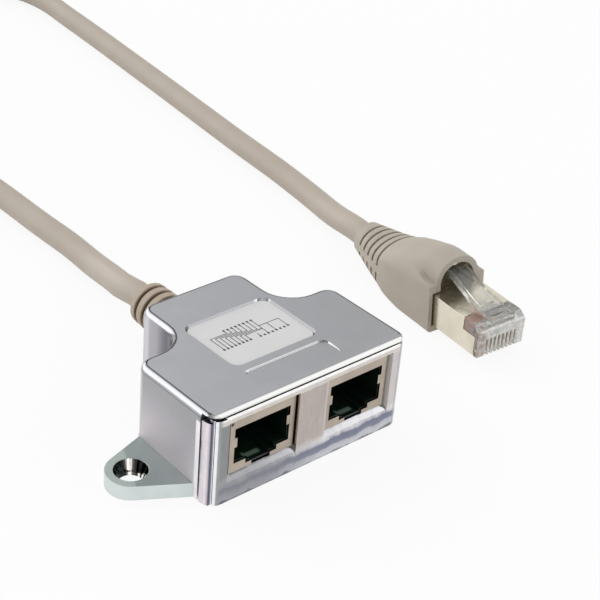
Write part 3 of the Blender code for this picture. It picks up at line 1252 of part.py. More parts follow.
def build():
    """Make every piece of the adapter."""
    clear_scene()
    chrome = material("plated_metal", (0.72, 0.73, 0.75), 0.14, 1.0)
    zinc = material("grey_metal", (0.36, 0.42, 0.40), 0.35, 0.9)
    tin = material("jack_metal", (0.66, 0.58, 0.50), 0.3, 1.0)
    nickel = material("plug_metal", (0.74, 0.70, 0.60), 0.28, 1.0)
    black = material("black_plastic", (0.012, 0.016, 0.014), 0.5)
    gold = material("gold_contact", (0.85, 0.62, 0.25), 0.25, 1.0)
    steel = material("screw_steel", (0.55, 0.55, 0.56), 0.3, 1.0)
    paper = material("label_film", (0.82, 0.82, 0.80), 0.5)
    board = material("board_green", (0.03, 0.16, 0.07), 0.45)
    beige = material("beige_pvc", (0.50, 0.44, 0.37), 0.55)
    clear = material("clear_plastic", (0.80, 0.83, 0.82), 0.08, 0.0, 0.8)
    copper = material("wire_ribbon", (0.62, 0.38, 0.30), 0.4)
    insulation = [material(f"insulation_{name}", colour, 0.5) for name, colour in (
        ("orange", (0.80, 0.30, 0.05)), ("green", (0.05, 0.40, 0.12)),
        ("blue", (0.06, 0.15, 0.55)), ("brown", (0.22, 0.11, 0.05)))]

    make_cover(chrome)
    make_base(zinc)
    make_front_panel(chrome)
    make_label(paper)
    make_board(board)
    for side, x in jack_centres().items():
        make_jack_shield(side, x, tin)
        make_jack_insert(side, x, black)
        make_jack_contacts(side, x, gold)
    make_screws(steel)
    make_strain_relief(beige)
    make_clamp(steel)
    make_conductors(insulation)

    carrier = plug_frame()
    make_plug_body(clear, carrier)
    make_plug_shield(nickel, carrier)
    make_plug_contacts(gold, carrier)
    make_load_bar(copper, carrier)
    make_boot(beige, carrier)
    tube("lead", lead_points(), CABLE_RADIUS, beige)


build()
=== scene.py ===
import math

import bmesh
import bpy
from mathutils import Matrix, Vector


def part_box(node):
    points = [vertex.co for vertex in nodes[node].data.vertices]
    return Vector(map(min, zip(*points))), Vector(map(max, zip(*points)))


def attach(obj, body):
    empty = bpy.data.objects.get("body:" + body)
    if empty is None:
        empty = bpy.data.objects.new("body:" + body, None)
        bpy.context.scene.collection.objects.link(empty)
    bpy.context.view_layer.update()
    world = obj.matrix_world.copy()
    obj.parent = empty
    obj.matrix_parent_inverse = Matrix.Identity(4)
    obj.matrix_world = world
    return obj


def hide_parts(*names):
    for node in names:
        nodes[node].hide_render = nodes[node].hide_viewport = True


MM = 0.001
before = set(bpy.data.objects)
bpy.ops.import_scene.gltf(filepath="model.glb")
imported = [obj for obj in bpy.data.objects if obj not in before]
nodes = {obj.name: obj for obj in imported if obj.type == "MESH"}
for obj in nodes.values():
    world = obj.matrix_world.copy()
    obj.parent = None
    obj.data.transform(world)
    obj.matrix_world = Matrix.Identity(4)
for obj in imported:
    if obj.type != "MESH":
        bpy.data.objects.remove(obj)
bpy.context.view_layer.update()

# Camera: the photograph's viewpoint, fitted to the housing's edges
CAMERA_PLACE = (-0.1551606, -0.1804725, 0.1789149)
CAMERA_FORWARD = Vector((0.56844333, 0.61882748, -0.54214826))
CAMERA_RIGHT = Vector((0.76550888, -0.63927728, 0.07294327))
CAMERA_UP = Vector((0.30144376, 0.45648342, 0.83711083))
CAMERA_LENS = 98.79
CAMERA_SENSOR = 36.0
CLIP_START = 0.01
CLIP_END = 20.0


def make_camera():
    """The photograph's viewpoint: above, in front and to the left of the housing."""
    data = bpy.data.cameras.new("camera")
    data.lens = CAMERA_LENS
    data.sensor_width = CAMERA_SENSOR
    data.clip_start = CLIP_START
    data.clip_end = CLIP_END
    camera = bpy.data.objects.new("camera", data)
    bpy.context.scene.collection.objects.link(camera)
    turn = Matrix((CAMERA_RIGHT, CAMERA_UP, -CAMERA_FORWARD)).transposed().to_4x4()
    camera.matrix_world = Matrix.Translation(CAMERA_PLACE) @ turn
    bpy.context.scene.camera = camera


make_camera()

# Sizes of the part that the looks follow, in metres
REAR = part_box("cover")[1].y
RELIEF_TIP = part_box("strain_relief")[1].y
FRONT = -17.3 * MM
ROOF_FALL = 0.041
FILM_TOP = 18.35 * MM
CABLE_RADIUS = 2.6 * MM
CABLE_HEIGHT = 7.35 * MM
CABLE_END = REAR - 11.0 * MM
CABLE_STRAIGHT = 3.5 * MM
PLUG_PLACE = Vector((51.9 * MM, -12.8 * MM, 0.0))
PLUG_TURN = math.radians(-3.8)
PLUG_FRAME = Matrix.Translation(PLUG_PLACE) @ Matrix.Rotation(PLUG_TURN, 4, "Z")
PLUG_AXIS = 4.8 * MM
PLUG_TOP = 8.1 * MM
PLUG_LENGTH = 21.5 * MM
PLUG_GAP = 0.6 * MM
BOOT_END = 41.8 * MM

# The free lead: the same chosen points as in the part's source
LEAD_ROUTE_MM = [
    (0.2, 39.7, 6.3), (1.4, 44.7, 5.0), (2.5, 49.7, 3.6), (3.2, 54.7, 2.75), (3.4, 62.7, 2.7),
    (2.9, 73.2, 2.7), (2.5, 88.7, 2.7), (2.0, 97.7, 2.7), (2.5, 112.7, 2.7), (5.0, 132.7, 2.7),
    (9.0, 150.7, 2.7), (14.0, 166.7, 2.7), (22.0, 182.7, 2.7), (33.0, 193.7, 2.7), (46.0, 196.7, 2.7),
    (57.0, 191.7, 2.7), (64.0, 181.7, 2.7), (66.3, 170.7, 2.7), (65.8, 157.7, 2.7), (65.0, 142.7, 2.7),
    (64.0, 127.7, 2.7), (63.0, 112.7, 2.7), (61.8, 96.2, 2.7), (60.6, 79.7, 2.7), (59.7, 63.7, 2.7),
    (58.3, 49.7, 2.7), (57.5, 45.7, 2.9), (56.3, 39.7, 3.6), (55.4, 34.2, 4.5),
]
LEAD_SPACING = 3.0 * MM
CURVE_STEPS = 20
TUBE_RESOLUTION = 6

# Mesh clean-up and edge breaking
MERGE_DISTANCE = 0.001 * MM
FLAT_ANGLE = math.radians(0.6)
SHARP_DEGREES = 32.0
NORMAL_WEIGHT = 80


def smooth_route(points, spacing):
    """Evenly spaced points on a smooth curve through the chosen ones, and the curve's length."""
    anchors = [Vector(point) for point in points]
    anchors = [2 * anchors[0] - anchors[1]] + anchors + [2 * anchors[-1] - anchors[-2]]
    fine = []
    for before, start, end, after in zip(anchors, anchors[1:], anchors[2:], anchors[3:]):
        for step in range(CURVE_STEPS):
            t = step / CURVE_STEPS
            fine.append(0.5 * (2 * start + (end - before) * t
                               + (2 * before - 5 * start + 4 * end - after) * t ** 2
                               + (3 * start - before - 3 * end + after) * t ** 3))
    fine.append(anchors[-2])
    lengths = [0.0]
    for first, second in zip(fine, fine[1:]):
        lengths.append(lengths[-1] + (second - first).length)
    count = round(lengths[-1] / spacing)
    even = []
    at = 0
    for index in range(count + 1):
        wanted = lengths[-1] * index / count
        while at < len(lengths) - 2 and lengths[at + 1] < wanted:
            at += 1
        share = (wanted - lengths[at]) / (lengths[at + 1] - lengths[at])
        even.append(fine[at].lerp(fine[at + 1], share))
    return even, lengths[-1]


def paint(data, finish):
    """Give a mesh or a curve one material."""
    data.materials.clear()
    data.materials.append(finish)


def link(name, data, finish, replaced=()):
    """Put a mesh or a curve in the scene as a piece that rides on the part's one body."""
    made = bpy.data.objects.new(name, data)
    bpy.context.scene.collection.objects.link(made)
    paint(data, finish)
    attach(made, "root")
    if replaced:
        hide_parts(*replaced)
    return made


def refined(name, node, finish, bevel, segments, sharp=SHARP_DEGREES):
    """A copy of a solid with flat faces merged, edges broken by a bevel in mm, and even shading."""
    mesh = nodes[node].data.copy()
    mesh.name = name
    work = bmesh.new()
    work.from_mesh(mesh)
    bmesh.ops.remove_doubles(work, verts=work.verts, dist=MERGE_DISTANCE)
    bmesh.ops.dissolve_limit(work, angle_limit=FLAT_ANGLE, verts=work.verts, edges=work.edges)
    work.to_mesh(mesh)
    work.free()
    made = link(name, mesh, finish, (node,))
    mesh.shade_smooth()
    edge = made.modifiers.new("edges", "BEVEL")
    edge.width = bevel * MM
    edge.segments = segments
    edge.limit_method = "ANGLE"
    edge.angle_limit = math.radians(sharp)
    edge.use_clamp_overlap = True
    edge.miter_outer = "MITER_ARC"
    even = made.modifiers.new("shading", "WEIGHTED_NORMAL")
    even.weight = NORMAL_WEIGHT
    even.keep_sharp = True
    return made


def box_into(work, low, high, bevel=0.0):
    """Add a box to a mesh under construction, between two corners in mm, with broken edges if wanted."""
    low = [value * MM for value in low]
    high = [value * MM for value in high]
    size = [end - start for start, end in zip(low, high)]
    middle = [(start + end) / 2 for start, end in zip(low, high)]
    place = Matrix.Translation(middle) @ Matrix.Diagonal((*size, 1.0))
    made = bmesh.ops.create_cube(work, size=1.0, matrix=place)
    if bevel:
        edges = {edge for vertex in made["verts"] for edge in vertex.link_edges}
        bmesh.ops.bevel(work, geom=list(edges), offset=bevel * MM, segments=2, profile=0.5, affect="EDGES")


def finish_mesh(work, name):
    """Turn a mesh under construction into mesh data."""
    mesh = bpy.data.meshes.new(name)
    work.to_mesh(mesh)
    work.free()
    return mesh


# Material helpers: the colour sockets of a Mix node
MIX_FIRST = 6
MIX_SECOND = 7
MIX_RESULT = 2


def new_material(name):
    """A new material with its node tree and its shader."""
    made = bpy.data.materials.new(name)
    made.use_nodes = True
    tree = made.node_tree
    return made, tree, tree.nodes["Principled BSDF"]


def add(tree, kind, **settings):
    """A new node with its settings."""
    node = tree.nodes.new(kind)
    for key, value in settings.items():
        setattr(node, key, value)
    return node


def noise(tree, scale, detail=3.0, roughness=0.55, stretch=None):
    """Object-space noise, stretched along an axis if wanted. The scale is per metre."""
    place = add(tree, "ShaderNodeTexCoord")
    source = place.outputs["Object"]
    if stretch:
        mapping = add(tree, "ShaderNodeMapping")
        mapping.inputs["Scale"].default_value = stretch
        tree.links.new(source, mapping.inputs["Vector"])
        source = mapping.outputs["Vector"]
    texture = add(tree, "ShaderNodeTexNoise")
    texture.inputs["Scale"].default_value = scale
    texture.inputs["Detail"].default_value = detail
    texture.inputs["Roughness"].default_value = roughness
    tree.links.new(source, texture.inputs["Vector"])
    return texture.outputs["Fac"]


def ramp(tree, factor, stops):
    """A colour ramp from a factor; stops are (position, colour)."""
    node = add(tree, "ShaderNodeValToRGB")
    elements = node.color_ramp.elements
    while len(elements) < len(stops):
        elements.new(0.5)
    for element, (position, colour) in zip(elements, stops):
        element.position = position
        element.color = (*colour, 1.0)
    tree.links.new(factor, node.inputs["Fac"])
    return node.outputs["Color"]


def patchy(tree, field, dark, light, edges=(0.3, 0.7)):
    """Two colours in soft patches: the dark one where a field of noise is low."""
    return ramp(tree, field, [(edges[0], dark), (edges[1], light)])


def span(tree, factor, low, high):
    """A factor spread between two numbers."""
    node = add(tree, "ShaderNodeMapRange")
    node.inputs["To Min"].default_value = low
    node.inputs["To Max"].default_value = high
    tree.links.new(factor, node.inputs["Value"])
    return node.outputs["Result"]


def rise(tree, value, start, end):
    """Zero at one value and one at another, and level outside them."""
    node = add(tree, "ShaderNodeMapRange")
    node.inputs["From Min"].default_value = start
    node.inputs["From Max"].default_value = end
    tree.links.new(value, node.inputs["Value"])
    return node.outputs["Result"]


def along(tree, value, stops):
    """Colours laid out along a measure; stops are (measure, colour)."""
    low = stops[0][0]
    high = stops[-1][0]
    placed = [((at - low) / (high - low), colour) for at, colour in stops]
    return ramp(tree, rise(tree, value, low, high), placed)


def calc(tree, operation, first, second=None):
    """One step of arithmetic between sockets and numbers."""
    node = add(tree, "ShaderNodeMath", operation=operation)
    for socket, value in zip(node.inputs, (first, second)):
        if value is None:
            continue
        if isinstance(value, (int, float)):
            socket.default_value = value
        else:
            tree.links.new(value, socket)
    return node.outputs[0]


def both(tree, *shares):
    """The product of several shares."""
    result = shares[0]
    for share in shares[1:]:
        result = calc(tree, "MULTIPLY", result, share)
    return result


def opposite(tree, share):
    """One where a share is zero, and zero where it is one."""
    return rise(tree, share, 1.0, 0.0)


def window(tree, value, low, high, soft):
    """One between two limits, zero outside, with soft edges."""
    return both(tree, rise(tree, value, low - soft, low + soft), rise(tree, value, high + soft, high - soft))


def distance(tree, first, second):
    """The length of a step with two parts at a right angle."""
    squares = [calc(tree, "MULTIPLY", part, part) for part in (first, second)]
    return calc(tree, "SQRT", calc(tree, "ADD", *squares))


def blend(tree, share, first, second, kind="MIX"):
    """One colour that turns into another as the share goes from zero to one."""
    node = add(tree, "ShaderNodeMix", data_type="RGBA", blend_type=kind)
    for socket, value in ((0, share), (MIX_FIRST, first), (MIX_SECOND, second)):
        if isinstance(value, tuple):
            node.inputs[socket].default_value = (*value, 1.0)
        elif isinstance(value, (int, float)):
            node.inputs[socket].default_value = value
        else:
            tree.links.new(value, node.inputs[socket])
    return node.outputs[MIX_RESULT]


def split_axes(tree, source):
    """A vector's three parts."""
    node = add(tree, "ShaderNodeSeparateXYZ")
    tree.links.new(source, node.inputs[0])
    return [node.outputs[axis] for axis in "XYZ"]


def place_mm(tree):
    """The object's own coordinates in millimetres."""
    source = add(tree, "ShaderNodeTexCoord").outputs["Object"]
    return [calc(tree, "MULTIPLY", part, 1.0 / MM) for part in split_axes(tree, source)]


def facing(tree):
    """The surface's direction along each axis."""
    return split_axes(tree, add(tree, "ShaderNodeNewGeometry").outputs["Normal"])


def sizes_of(tree, parts):
    """Each part without its sign."""
    return [calc(tree, "ABSOLUTE", part) for part in parts]


def flatness(tree, sides):
    """One where a surface squarely faces along an axis, and less where it turns."""
    return calc(tree, "MAXIMUM", calc(tree, "MAXIMUM", sides[0], sides[1]), sides[2])


def bump(tree, shader, *layers):
    """Stack bumps of noise; each layer is (noise scale, noise detail, height in metres)."""
    last = None
    for scale, detail, height in layers:
        node = add(tree, "ShaderNodeBump")
        node.inputs["Strength"].default_value = 1.0
        node.inputs["Distance"].default_value = height
        tree.links.new(noise(tree, scale, detail), node.inputs["Height"])
        if last is not None:
            tree.links.new(last, node.inputs["Normal"])
        last = node.outputs["Normal"]
    tree.links.new(last, shader.inputs["Normal"])


def surface_mix(tree, share, first, second):
    """Put a mix of two shaders on a material's surface."""
    mix = add(tree, "ShaderNodeMixShader")
    tree.links.new(share, mix.inputs[0])
    tree.links.new(first.outputs[0], mix.inputs[1])
    tree.links.new(second.outputs[0], mix.inputs[2])
    tree.links.new(mix.outputs[0], tree.nodes["Material Output"].inputs["Surface"])


# Noise scales per metre and levels of detail, shared by the metals and plastics
PATCH_DETAIL = 4.0
BUMP_DETAIL = 2.0
GRAIN_DETAIL = 3.0
METAL_PATCH = 220.0
METAL_ROUGH = 700.0
METAL_WAVE = 90.0
METAL_GRAIN = 2600.0
METAL_EDGES = (0.25, 0.75)
PLASTIC_PATCH = 160.0
PLASTIC_ROUGH = 900.0
PLASTIC_GRAIN = 3500.0


def metal_bump(tree, shader, waves, grain):
    """Slow waves and fine grain, by their heights in metres."""
    bump(tree, shader, (METAL_WAVE, BUMP_DETAIL, waves), (METAL_GRAIN, BUMP_DETAIL, grain))


def metal_surface(tree, shader, rough, waves, grain):
    """Noisy roughness between two numbers, slow waves and fine grain."""
    tree.links.new(span(tree, noise(tree, METAL_ROUGH), *rough), shader.inputs["Roughness"])
    metal_bump(tree, shader, waves, grain)


def plastic_surface(tree, shader, rough, grain):
    """Noisy roughness between two numbers, and fine grain."""
    tree.links.new(span(tree, noise(tree, PLASTIC_ROUGH), *rough), shader.inputs["Roughness"])
    bump(tree, shader, (PLASTIC_GRAIN, GRAIN_DETAIL, grain))


def metal(name, colour, dark, rough, waves, grain):
    """Plated or polished metal: slow waves, fine grain, and soft patches of haze."""
    made, tree, shader = new_material(name)
    shader.inputs["Metallic"].default_value = 1.0
    haze = patchy(tree, noise(tree, METAL_PATCH, PATCH_DETAIL), dark, colour, METAL_EDGES)
    tree.links.new(haze, shader.inputs["Base Color"])
    metal_surface(tree, shader, rough, waves, grain)
    return made


def plastic(name, colour, dark, rough, grain):
    """Moulded plastic or soft jacket with fine matt grain and faint patches of colour."""
    made, tree, shader = new_material(name)
    patches = patchy(tree, noise(tree, PLASTIC_PATCH, PATCH_DETAIL), dark, colour)
    tree.links.new(patches, shader.inputs["Base Color"])
    plastic_surface(tree, shader, rough, grain)
    return made


# Housing plating: how squarely a surface faces up, sideways or along, as (start, end)
UPRIGHT = (0.985, 0.995)
OFF_LEVEL = (0.994, 0.982)
OFF_UPRIGHT = (0.04, 0.08)
BEND_OFF_LEVEL = (0.994, 0.98)
BEND_OFF_UPRIGHT = (0.25, 0.35)
FILLET_TURNED = (0.96, 0.9)
FILLET_UPRIGHT = (0.35, 0.25)
SATIN_FLAT = (0.965, 0.998)

# Housing plating: places in mm, as (start, end) or as (low, high, soft edge)
ROOF_SLANT = 0.7
ROOF_SPREAD = (-20.0, 20.0)
WALL_X = (-21.2, -21.5)
SEAM_X = (21.0, 21.3)
SEAM_Y = (-12.85, -13.1)
SEAM_Z = (16.6, 16.2)
LIP_Y = (-15.35, -15.5)
RECESS_X = (-9.9, 9.9, 0.1)
RECESS_Y = (-7.8, 8.7, 0.1)
RECESS_CORNER_X = (6.8, 7.4)
RECESS_CORNER_Y = (6.4, 6.9)
PAD_LINE_X = (-8.6, 7.4, 0.3)
PAD_LINE_Y = (-9.25, -8.8, 0.06)
FILLET_X = (8.3, 17.2, 0.05)
FILLET_Y = (5.0, 18.6, 0.2)
BEND_X = (11.3, 17.2, 0.1)
BEND_Y = (4.6, 9.6, 0.3)

# Housing plating: painted reflections, highlights and shade, as colours and as colours along a measure
ROOF_REFLECTION_NEAR = ((0.39, 0.395, 0.41), (0.415, 0.42, 0.435))
ROOF_REFLECTION_FAR = ((0.475, 0.48, 0.505), (0.50, 0.505, 0.53))
SEAM_HIGHLIGHT = (0.96, 0.93, 0.95)
ROUNDING_EDGE_REFLECTION = (0.41, 0.415, 0.43)
RECESS_SHADE = (0.24, 0.24, 0.25)
PAD_LINE_HIGHLIGHT = (0.98, 0.98, 0.98)
PAD_HIGHLIGHT_SHARE = 0.85
BEND_SHADE = (0.13, 0.13, 0.14)
POLISHED_ROUGH = 0.12
SATIN_ROUGH = 0.28
WALL_ROUGH = 0.2
ROUGH_DRIFT = (-0.03, 0.03)
WALL_REFLECTION_BY_HEIGHT = [(3.0, (0.72, 0.66, 0.69)), (8.0, (0.60, 0.57, 0.60)), (14.0, (0.455, 0.45, 0.47)),
                  (18.0, (0.42, 0.42, 0.44))]
ROUNDING_REFLECTION_BY_TURN = [(0.0, ROUNDING_EDGE_REFLECTION), (0.06, (0.12, 0.12, 0.14)), (0.13, (0.14, 0.14, 0.16)),
                    (0.20, (0.46, 0.46, 0.47)), (0.82, ROUNDING_EDGE_REFLECTION), (0.90, (0.26, 0.265, 0.275)),
                    (0.945, (0.07, 0.07, 0.08)), (1.0, (0.07, 0.07, 0.08))]
LIP_HIGHLIGHT_BY_LENGTH = [(-17.3, (0.98, 0.98, 0.96)), (-16.35, (0.98, 0.98, 0.96)), (-16.1, (0.50, 0.52, 0.53)),
                 (-15.6, (0.40, 0.41, 0.42)), (-15.3, (0.20, 0.21, 0.22))]
FILLET_REFLECTION_BY_LENGTH = [(6.3, (0.80, 0.80, 0.82)), (6.7, (0.70, 0.70, 0.72)), (7.0, (0.10, 0.10, 0.12)),
                    (8.6, (0.09, 0.09, 0.11)), (9.8, (0.16, 0.15, 0.18)), (11.2, (0.26, 0.25, 0.28)),
                    (12.8, (0.42, 0.41, 0.44)), (14.6, (0.44, 0.43, 0.46)), (15.4, (0.66, 0.64, 0.68)),
                    (16.2, (0.60, 0.58, 0.62)), (17.0, (0.36, 0.35, 0.39)), (18.4, (0.22, 0.22, 0.25))]


def housing_plating():
    """Satin flats with polished rounded edges, as worn in handling and plating. Its colour carries painted
    reflections, highlights and shade: roof and wall tones by place, bright strips, dark lines along the
    roundings, and painted shade round the label and at the neck's shoulder.
    """
    made, tree, shader = new_material("bright_plating")
    shader.inputs["Metallic"].default_value = 1.0
    x, y, z = place_mm(tree)
    sides = sizes_of(tree, facing(tree))
    outer = calc(tree, "ABSOLUTE", x)
    tilted = rise(tree, sides[2], *OFF_LEVEL)
    haze = noise(tree, METAL_PATCH, PATCH_DETAIL)
    # Painted reflection: the roof is paler towards the rear and left.
    far = rise(tree, calc(tree, "SUBTRACT", calc(tree, "MULTIPLY", y, ROOF_SLANT), x), *ROOF_SPREAD)
    colour = blend(tree, far, patchy(tree, haze, *ROOF_REFLECTION_NEAR, METAL_EDGES),
                   patchy(tree, haze, *ROOF_REFLECTION_FAR, METAL_EDGES))
    # Painted reflection: the side walls go from pale at the foot to grey at the top.
    wall = both(tree, rise(tree, sides[0], *UPRIGHT), rise(tree, x, *WALL_X))
    colour = blend(tree, wall, colour, along(tree, z, WALL_REFLECTION_BY_HEIGHT))
    # Painted highlight: the front end of each side wall, below the roof edge, is near white.
    seam_highlight = both(tree, rise(tree, y, *SEAM_Y), rise(tree, outer, *SEAM_X), rise(tree, z, *SEAM_Z))
    colour = blend(tree, seam_highlight, colour, SEAM_HIGHLIGHT)
    # Painted reflection: bands of dark and grey along the rounded edges between the roof and walls.
    rounding_reflection = both(tree, tilted, rise(tree, sides[2], *OFF_UPRIGHT))
    colour = blend(tree, rounding_reflection, colour, along(tree, sides[2], ROUNDING_REFLECTION_BY_TURN))
    # Painted highlight: the front lip is near white at its nose and darkens back towards the roof.
    lip = both(tree, rise(tree, y, *LIP_Y), tilted)
    colour = blend(tree, lip, colour, along(tree, y, LIP_HIGHLIGHT_BY_LENGTH))
    # Painted shade: the sloping walls round the label are dark grey, except at the rear right corner.
    recess_shade = both(tree, window(tree, x, *RECESS_X), window(tree, y, *RECESS_Y), tilted)
    corner = both(tree, rise(tree, x, *RECESS_CORNER_X), rise(tree, y, *RECESS_CORNER_Y))
    colour = blend(tree, both(tree, recess_shade, opposite(tree, corner)), colour, RECESS_SHADE)
    # Painted highlight: a bright line just in front of the label's hollow.
    pad_highlight = both(tree, window(tree, x, *PAD_LINE_X), window(tree, y, *PAD_LINE_Y))
    colour = blend(tree, calc(tree, "MULTIPLY", pad_highlight, PAD_HIGHLIGHT_SHARE), colour, PAD_LINE_HIGHLIGHT)
    # Painted shade: a dark patch on the curved shoulders where the housing narrows to the neck.
    bend_shade = both(tree, window(tree, outer, *BEND_X), window(tree, y, *BEND_Y),
                rise(tree, sides[2], *BEND_OFF_LEVEL), rise(tree, sides[2], *BEND_OFF_UPRIGHT))
    colour = blend(tree, bend_shade, colour, BEND_SHADE)
    # Painted reflection: light and dark bands along the upright curves of the neck's shoulders.
    fillet_reflection = both(tree, window(tree, outer, *FILLET_X), window(tree, y, *FILLET_Y),
                  rise(tree, sides[1], *FILLET_TURNED), rise(tree, sides[2], *FILLET_UPRIGHT))
    colour = blend(tree, fillet_reflection, colour, along(tree, y, FILLET_REFLECTION_BY_LENGTH))
    tree.links.new(colour, shader.inputs["Base Color"])
    satin = rise(tree, flatness(tree, sides), *SATIN_FLAT)
    rough = calc(tree, "ADD", calc(tree, "MULTIPLY", satin, SATIN_ROUGH), POLISHED_ROUGH)
    rough = calc(tree, "ADD", rough, calc(tree, "MULTIPLY", wall, WALL_ROUGH))
    rough = calc(tree, "ADD", rough, span(tree, noise(tree, METAL_ROUGH), *ROUGH_DRIFT))
    tree.links.new(rough, shader.inputs["Roughness"])
    metal_bump(tree, shader, 0.00003, 0.0000008)
    return made


# Front panel: noise by scale, detail, roughness and stretch, and how far it moves the foot's painted
# reflection bands
FOOT_NOISE = (240.0, 3.0, 0.6, (1.0, 1.0, 0.5))
FOOT_DRIFT = 1.3
MOTTLE_NOISE = (900.0, 5.0, 0.7, (1.0, 1.0, 0.35))
PANEL_WAVE = (260.0, BUMP_DETAIL, 0.00012)
PANEL_GRAIN = (METAL_GRAIN, BUMP_DETAIL, 0.000001)
PANEL_ROUGH = (0.14, 0.24)

# Front panel: places in mm, as (start, end) or as (low, high, soft edge)
FOOT_TOP = (5.6, 3.6)
FOOT_SIDES = (-9.0, 3.0)
HEAD_Z = (16.2, 16.5)
RIM_Z = (17.15, 17.35)
SILL_Z = (3.2, 7.5, 0.3)
SILL_FACING_UP = (0.3, 0.5)
COLUMN_OUTER = (19.4, 20.0)
COLUMN_LEFT = (21.0, 19.6)
JAMB_X = (10.0, 20.2, 0.2)
JAMB_FACING_LEFT = (-0.8, -0.9)

# Front panel: painted reflections, highlights and shade, as colours and as colours along a measure
HEAD_REFLECTION = (0.70, 0.66, 0.61)
RIM_HIGHLIGHT = (0.98, 0.97, 0.95)
JAMB_HIGHLIGHT = (0.9, 0.87, 0.82)
MOTTLE = ((0.84, 0.84, 0.86), (1.0, 1.0, 1.0))
FRONT_REFLECTION_BY_WIDTH = [(-20.0, (0.285, 0.295, 0.295)), (-17.4, (0.285, 0.29, 0.30)), (-5.0, (0.40, 0.40, 0.41)),
                  (-4.4, (0.56, 0.58, 0.60)), (-3.9, (0.52, 0.46, 0.425)), (2.6, (0.51, 0.45, 0.415)),
                  (3.2, (0.66, 0.64, 0.64)), (16.8, (0.60, 0.57, 0.57)), (18.2, (0.66, 0.61, 0.61)),
                  (20.0, (0.62, 0.57, 0.58))]
LEFT_FOOT_REFLECTION_BY_HEIGHT = [(0.0, (0.16, 0.16, 0.19)), (0.5, (0.36, 0.365, 0.39)), (1.6, (0.32, 0.325, 0.35)),
                       (2.6, (0.24, 0.245, 0.285)), (3.6, (0.34, 0.34, 0.37)), (5.0, (0.48, 0.48, 0.50))]
RIGHT_FOOT_REFLECTION_BY_HEIGHT = [(0.0, (0.20, 0.20, 0.24)), (0.5, (0.62, 0.63, 0.66)), (1.5, (0.54, 0.55, 0.59)),
                        (1.9, (0.25, 0.265, 0.34)), (3.1, (0.22, 0.23, 0.31)), (3.6, (0.62, 0.61, 0.64)),
                        (4.4, (0.88, 0.87, 0.88))]
SILL_SHADE_BY_WIDTH = [(-12.0, (0.20, 0.20, 0.21)), (-6.0, (0.26, 0.26, 0.27)), (6.0, (0.36, 0.36, 0.37)),
                 (18.0, (0.42, 0.42, 0.43))]
COLUMN_REFLECTION_BY_WIDTH = [(18.9, (0.33, 0.35, 0.345)), (20.1, (0.36, 0.385, 0.37)), (20.25, (0.96, 0.96, 0.97)),
                   (20.6, (0.96, 0.96, 0.97)), (20.72, (0.28, 0.28, 0.36)), (21.12, (0.10, 0.10, 0.13)),
                   (21.25, (0.56, 0.52, 0.56)), (21.45, (0.85, 0.79, 0.83)), (21.74, (0.74, 0.69, 0.73)),
                   (21.79, (0.30, 0.28, 0.30)), (21.80, (0.30, 0.28, 0.30))]


def panel_plating():
    """Bright stamped panel with painted reflections, highlights and shade: pale corner columns and post,
    wavy bands along its foot, a pale head and top rim, shaded window floors and a pale inner side in the
    right window.
    """
    made, tree, shader = new_material("panel_plating")
    shader.inputs["Metallic"].default_value = 1.0
    x, _, z = place_mm(tree)
    normal = facing(tree)
    outer = calc(tree, "ABSOLUTE", x)
    # Painted reflection: wavy bands along the foot, and tones across the front's width.
    drift = span(tree, noise(tree, *FOOT_NOISE), -1.0, 1.0)
    height = calc(tree, "ADD", z, calc(tree, "MULTIPLY", drift, FOOT_DRIFT))
    foot = blend(tree, rise(tree, x, *FOOT_SIDES), along(tree, height, LEFT_FOOT_REFLECTION_BY_HEIGHT),
                 along(tree, height, RIGHT_FOOT_REFLECTION_BY_HEIGHT))
    colour = blend(tree, rise(tree, height, *FOOT_TOP), along(tree, x, FRONT_REFLECTION_BY_WIDTH), foot)
    # Painted reflection and highlight: a pale band near the top and a near-white top rim.
    colour = blend(tree, rise(tree, z, *HEAD_Z), colour, HEAD_REFLECTION)
    colour = blend(tree, rise(tree, z, *RIM_Z), colour, RIM_HIGHLIGHT)
    # Painted shade: the upward floors of the windows, darker on the left.
    sill_shade = both(tree, rise(tree, normal[2], *SILL_FACING_UP), window(tree, z, *SILL_Z))
    colour = blend(tree, sill_shade, colour, along(tree, x, SILL_SHADE_BY_WIDTH))
    # Painted reflection: pale and dark vertical bands on the corner columns.
    column_reflection = both(tree, rise(tree, outer, *COLUMN_OUTER), rise(tree, x, *COLUMN_LEFT))
    colour = blend(tree, column_reflection, colour, along(tree, outer, COLUMN_REFLECTION_BY_WIDTH))
    mottle = patchy(tree, noise(tree, *MOTTLE_NOISE), *MOTTLE)
    colour = blend(tree, 1.0, colour, mottle, "MULTIPLY")
    # Painted highlight: the inner side of the right window facing left is a pale non-metal.
    jamb_highlight = both(tree, rise(tree, normal[0], *JAMB_FACING_LEFT), window(tree, x, *JAMB_X))
    colour = blend(tree, jamb_highlight, colour, JAMB_HIGHLIGHT)
    tree.links.new(colour, shader.inputs["Base Color"])
    tree.links.new(opposite(tree, jamb_highlight), shader.inputs["Metallic"])
    tree.links.new(span(tree, noise(tree, METAL_ROUGH), *PANEL_ROUGH), shader.inputs["Roughness"])
    bump(tree, shader, PANEL_WAVE, PANEL_GRAIN)
    return made


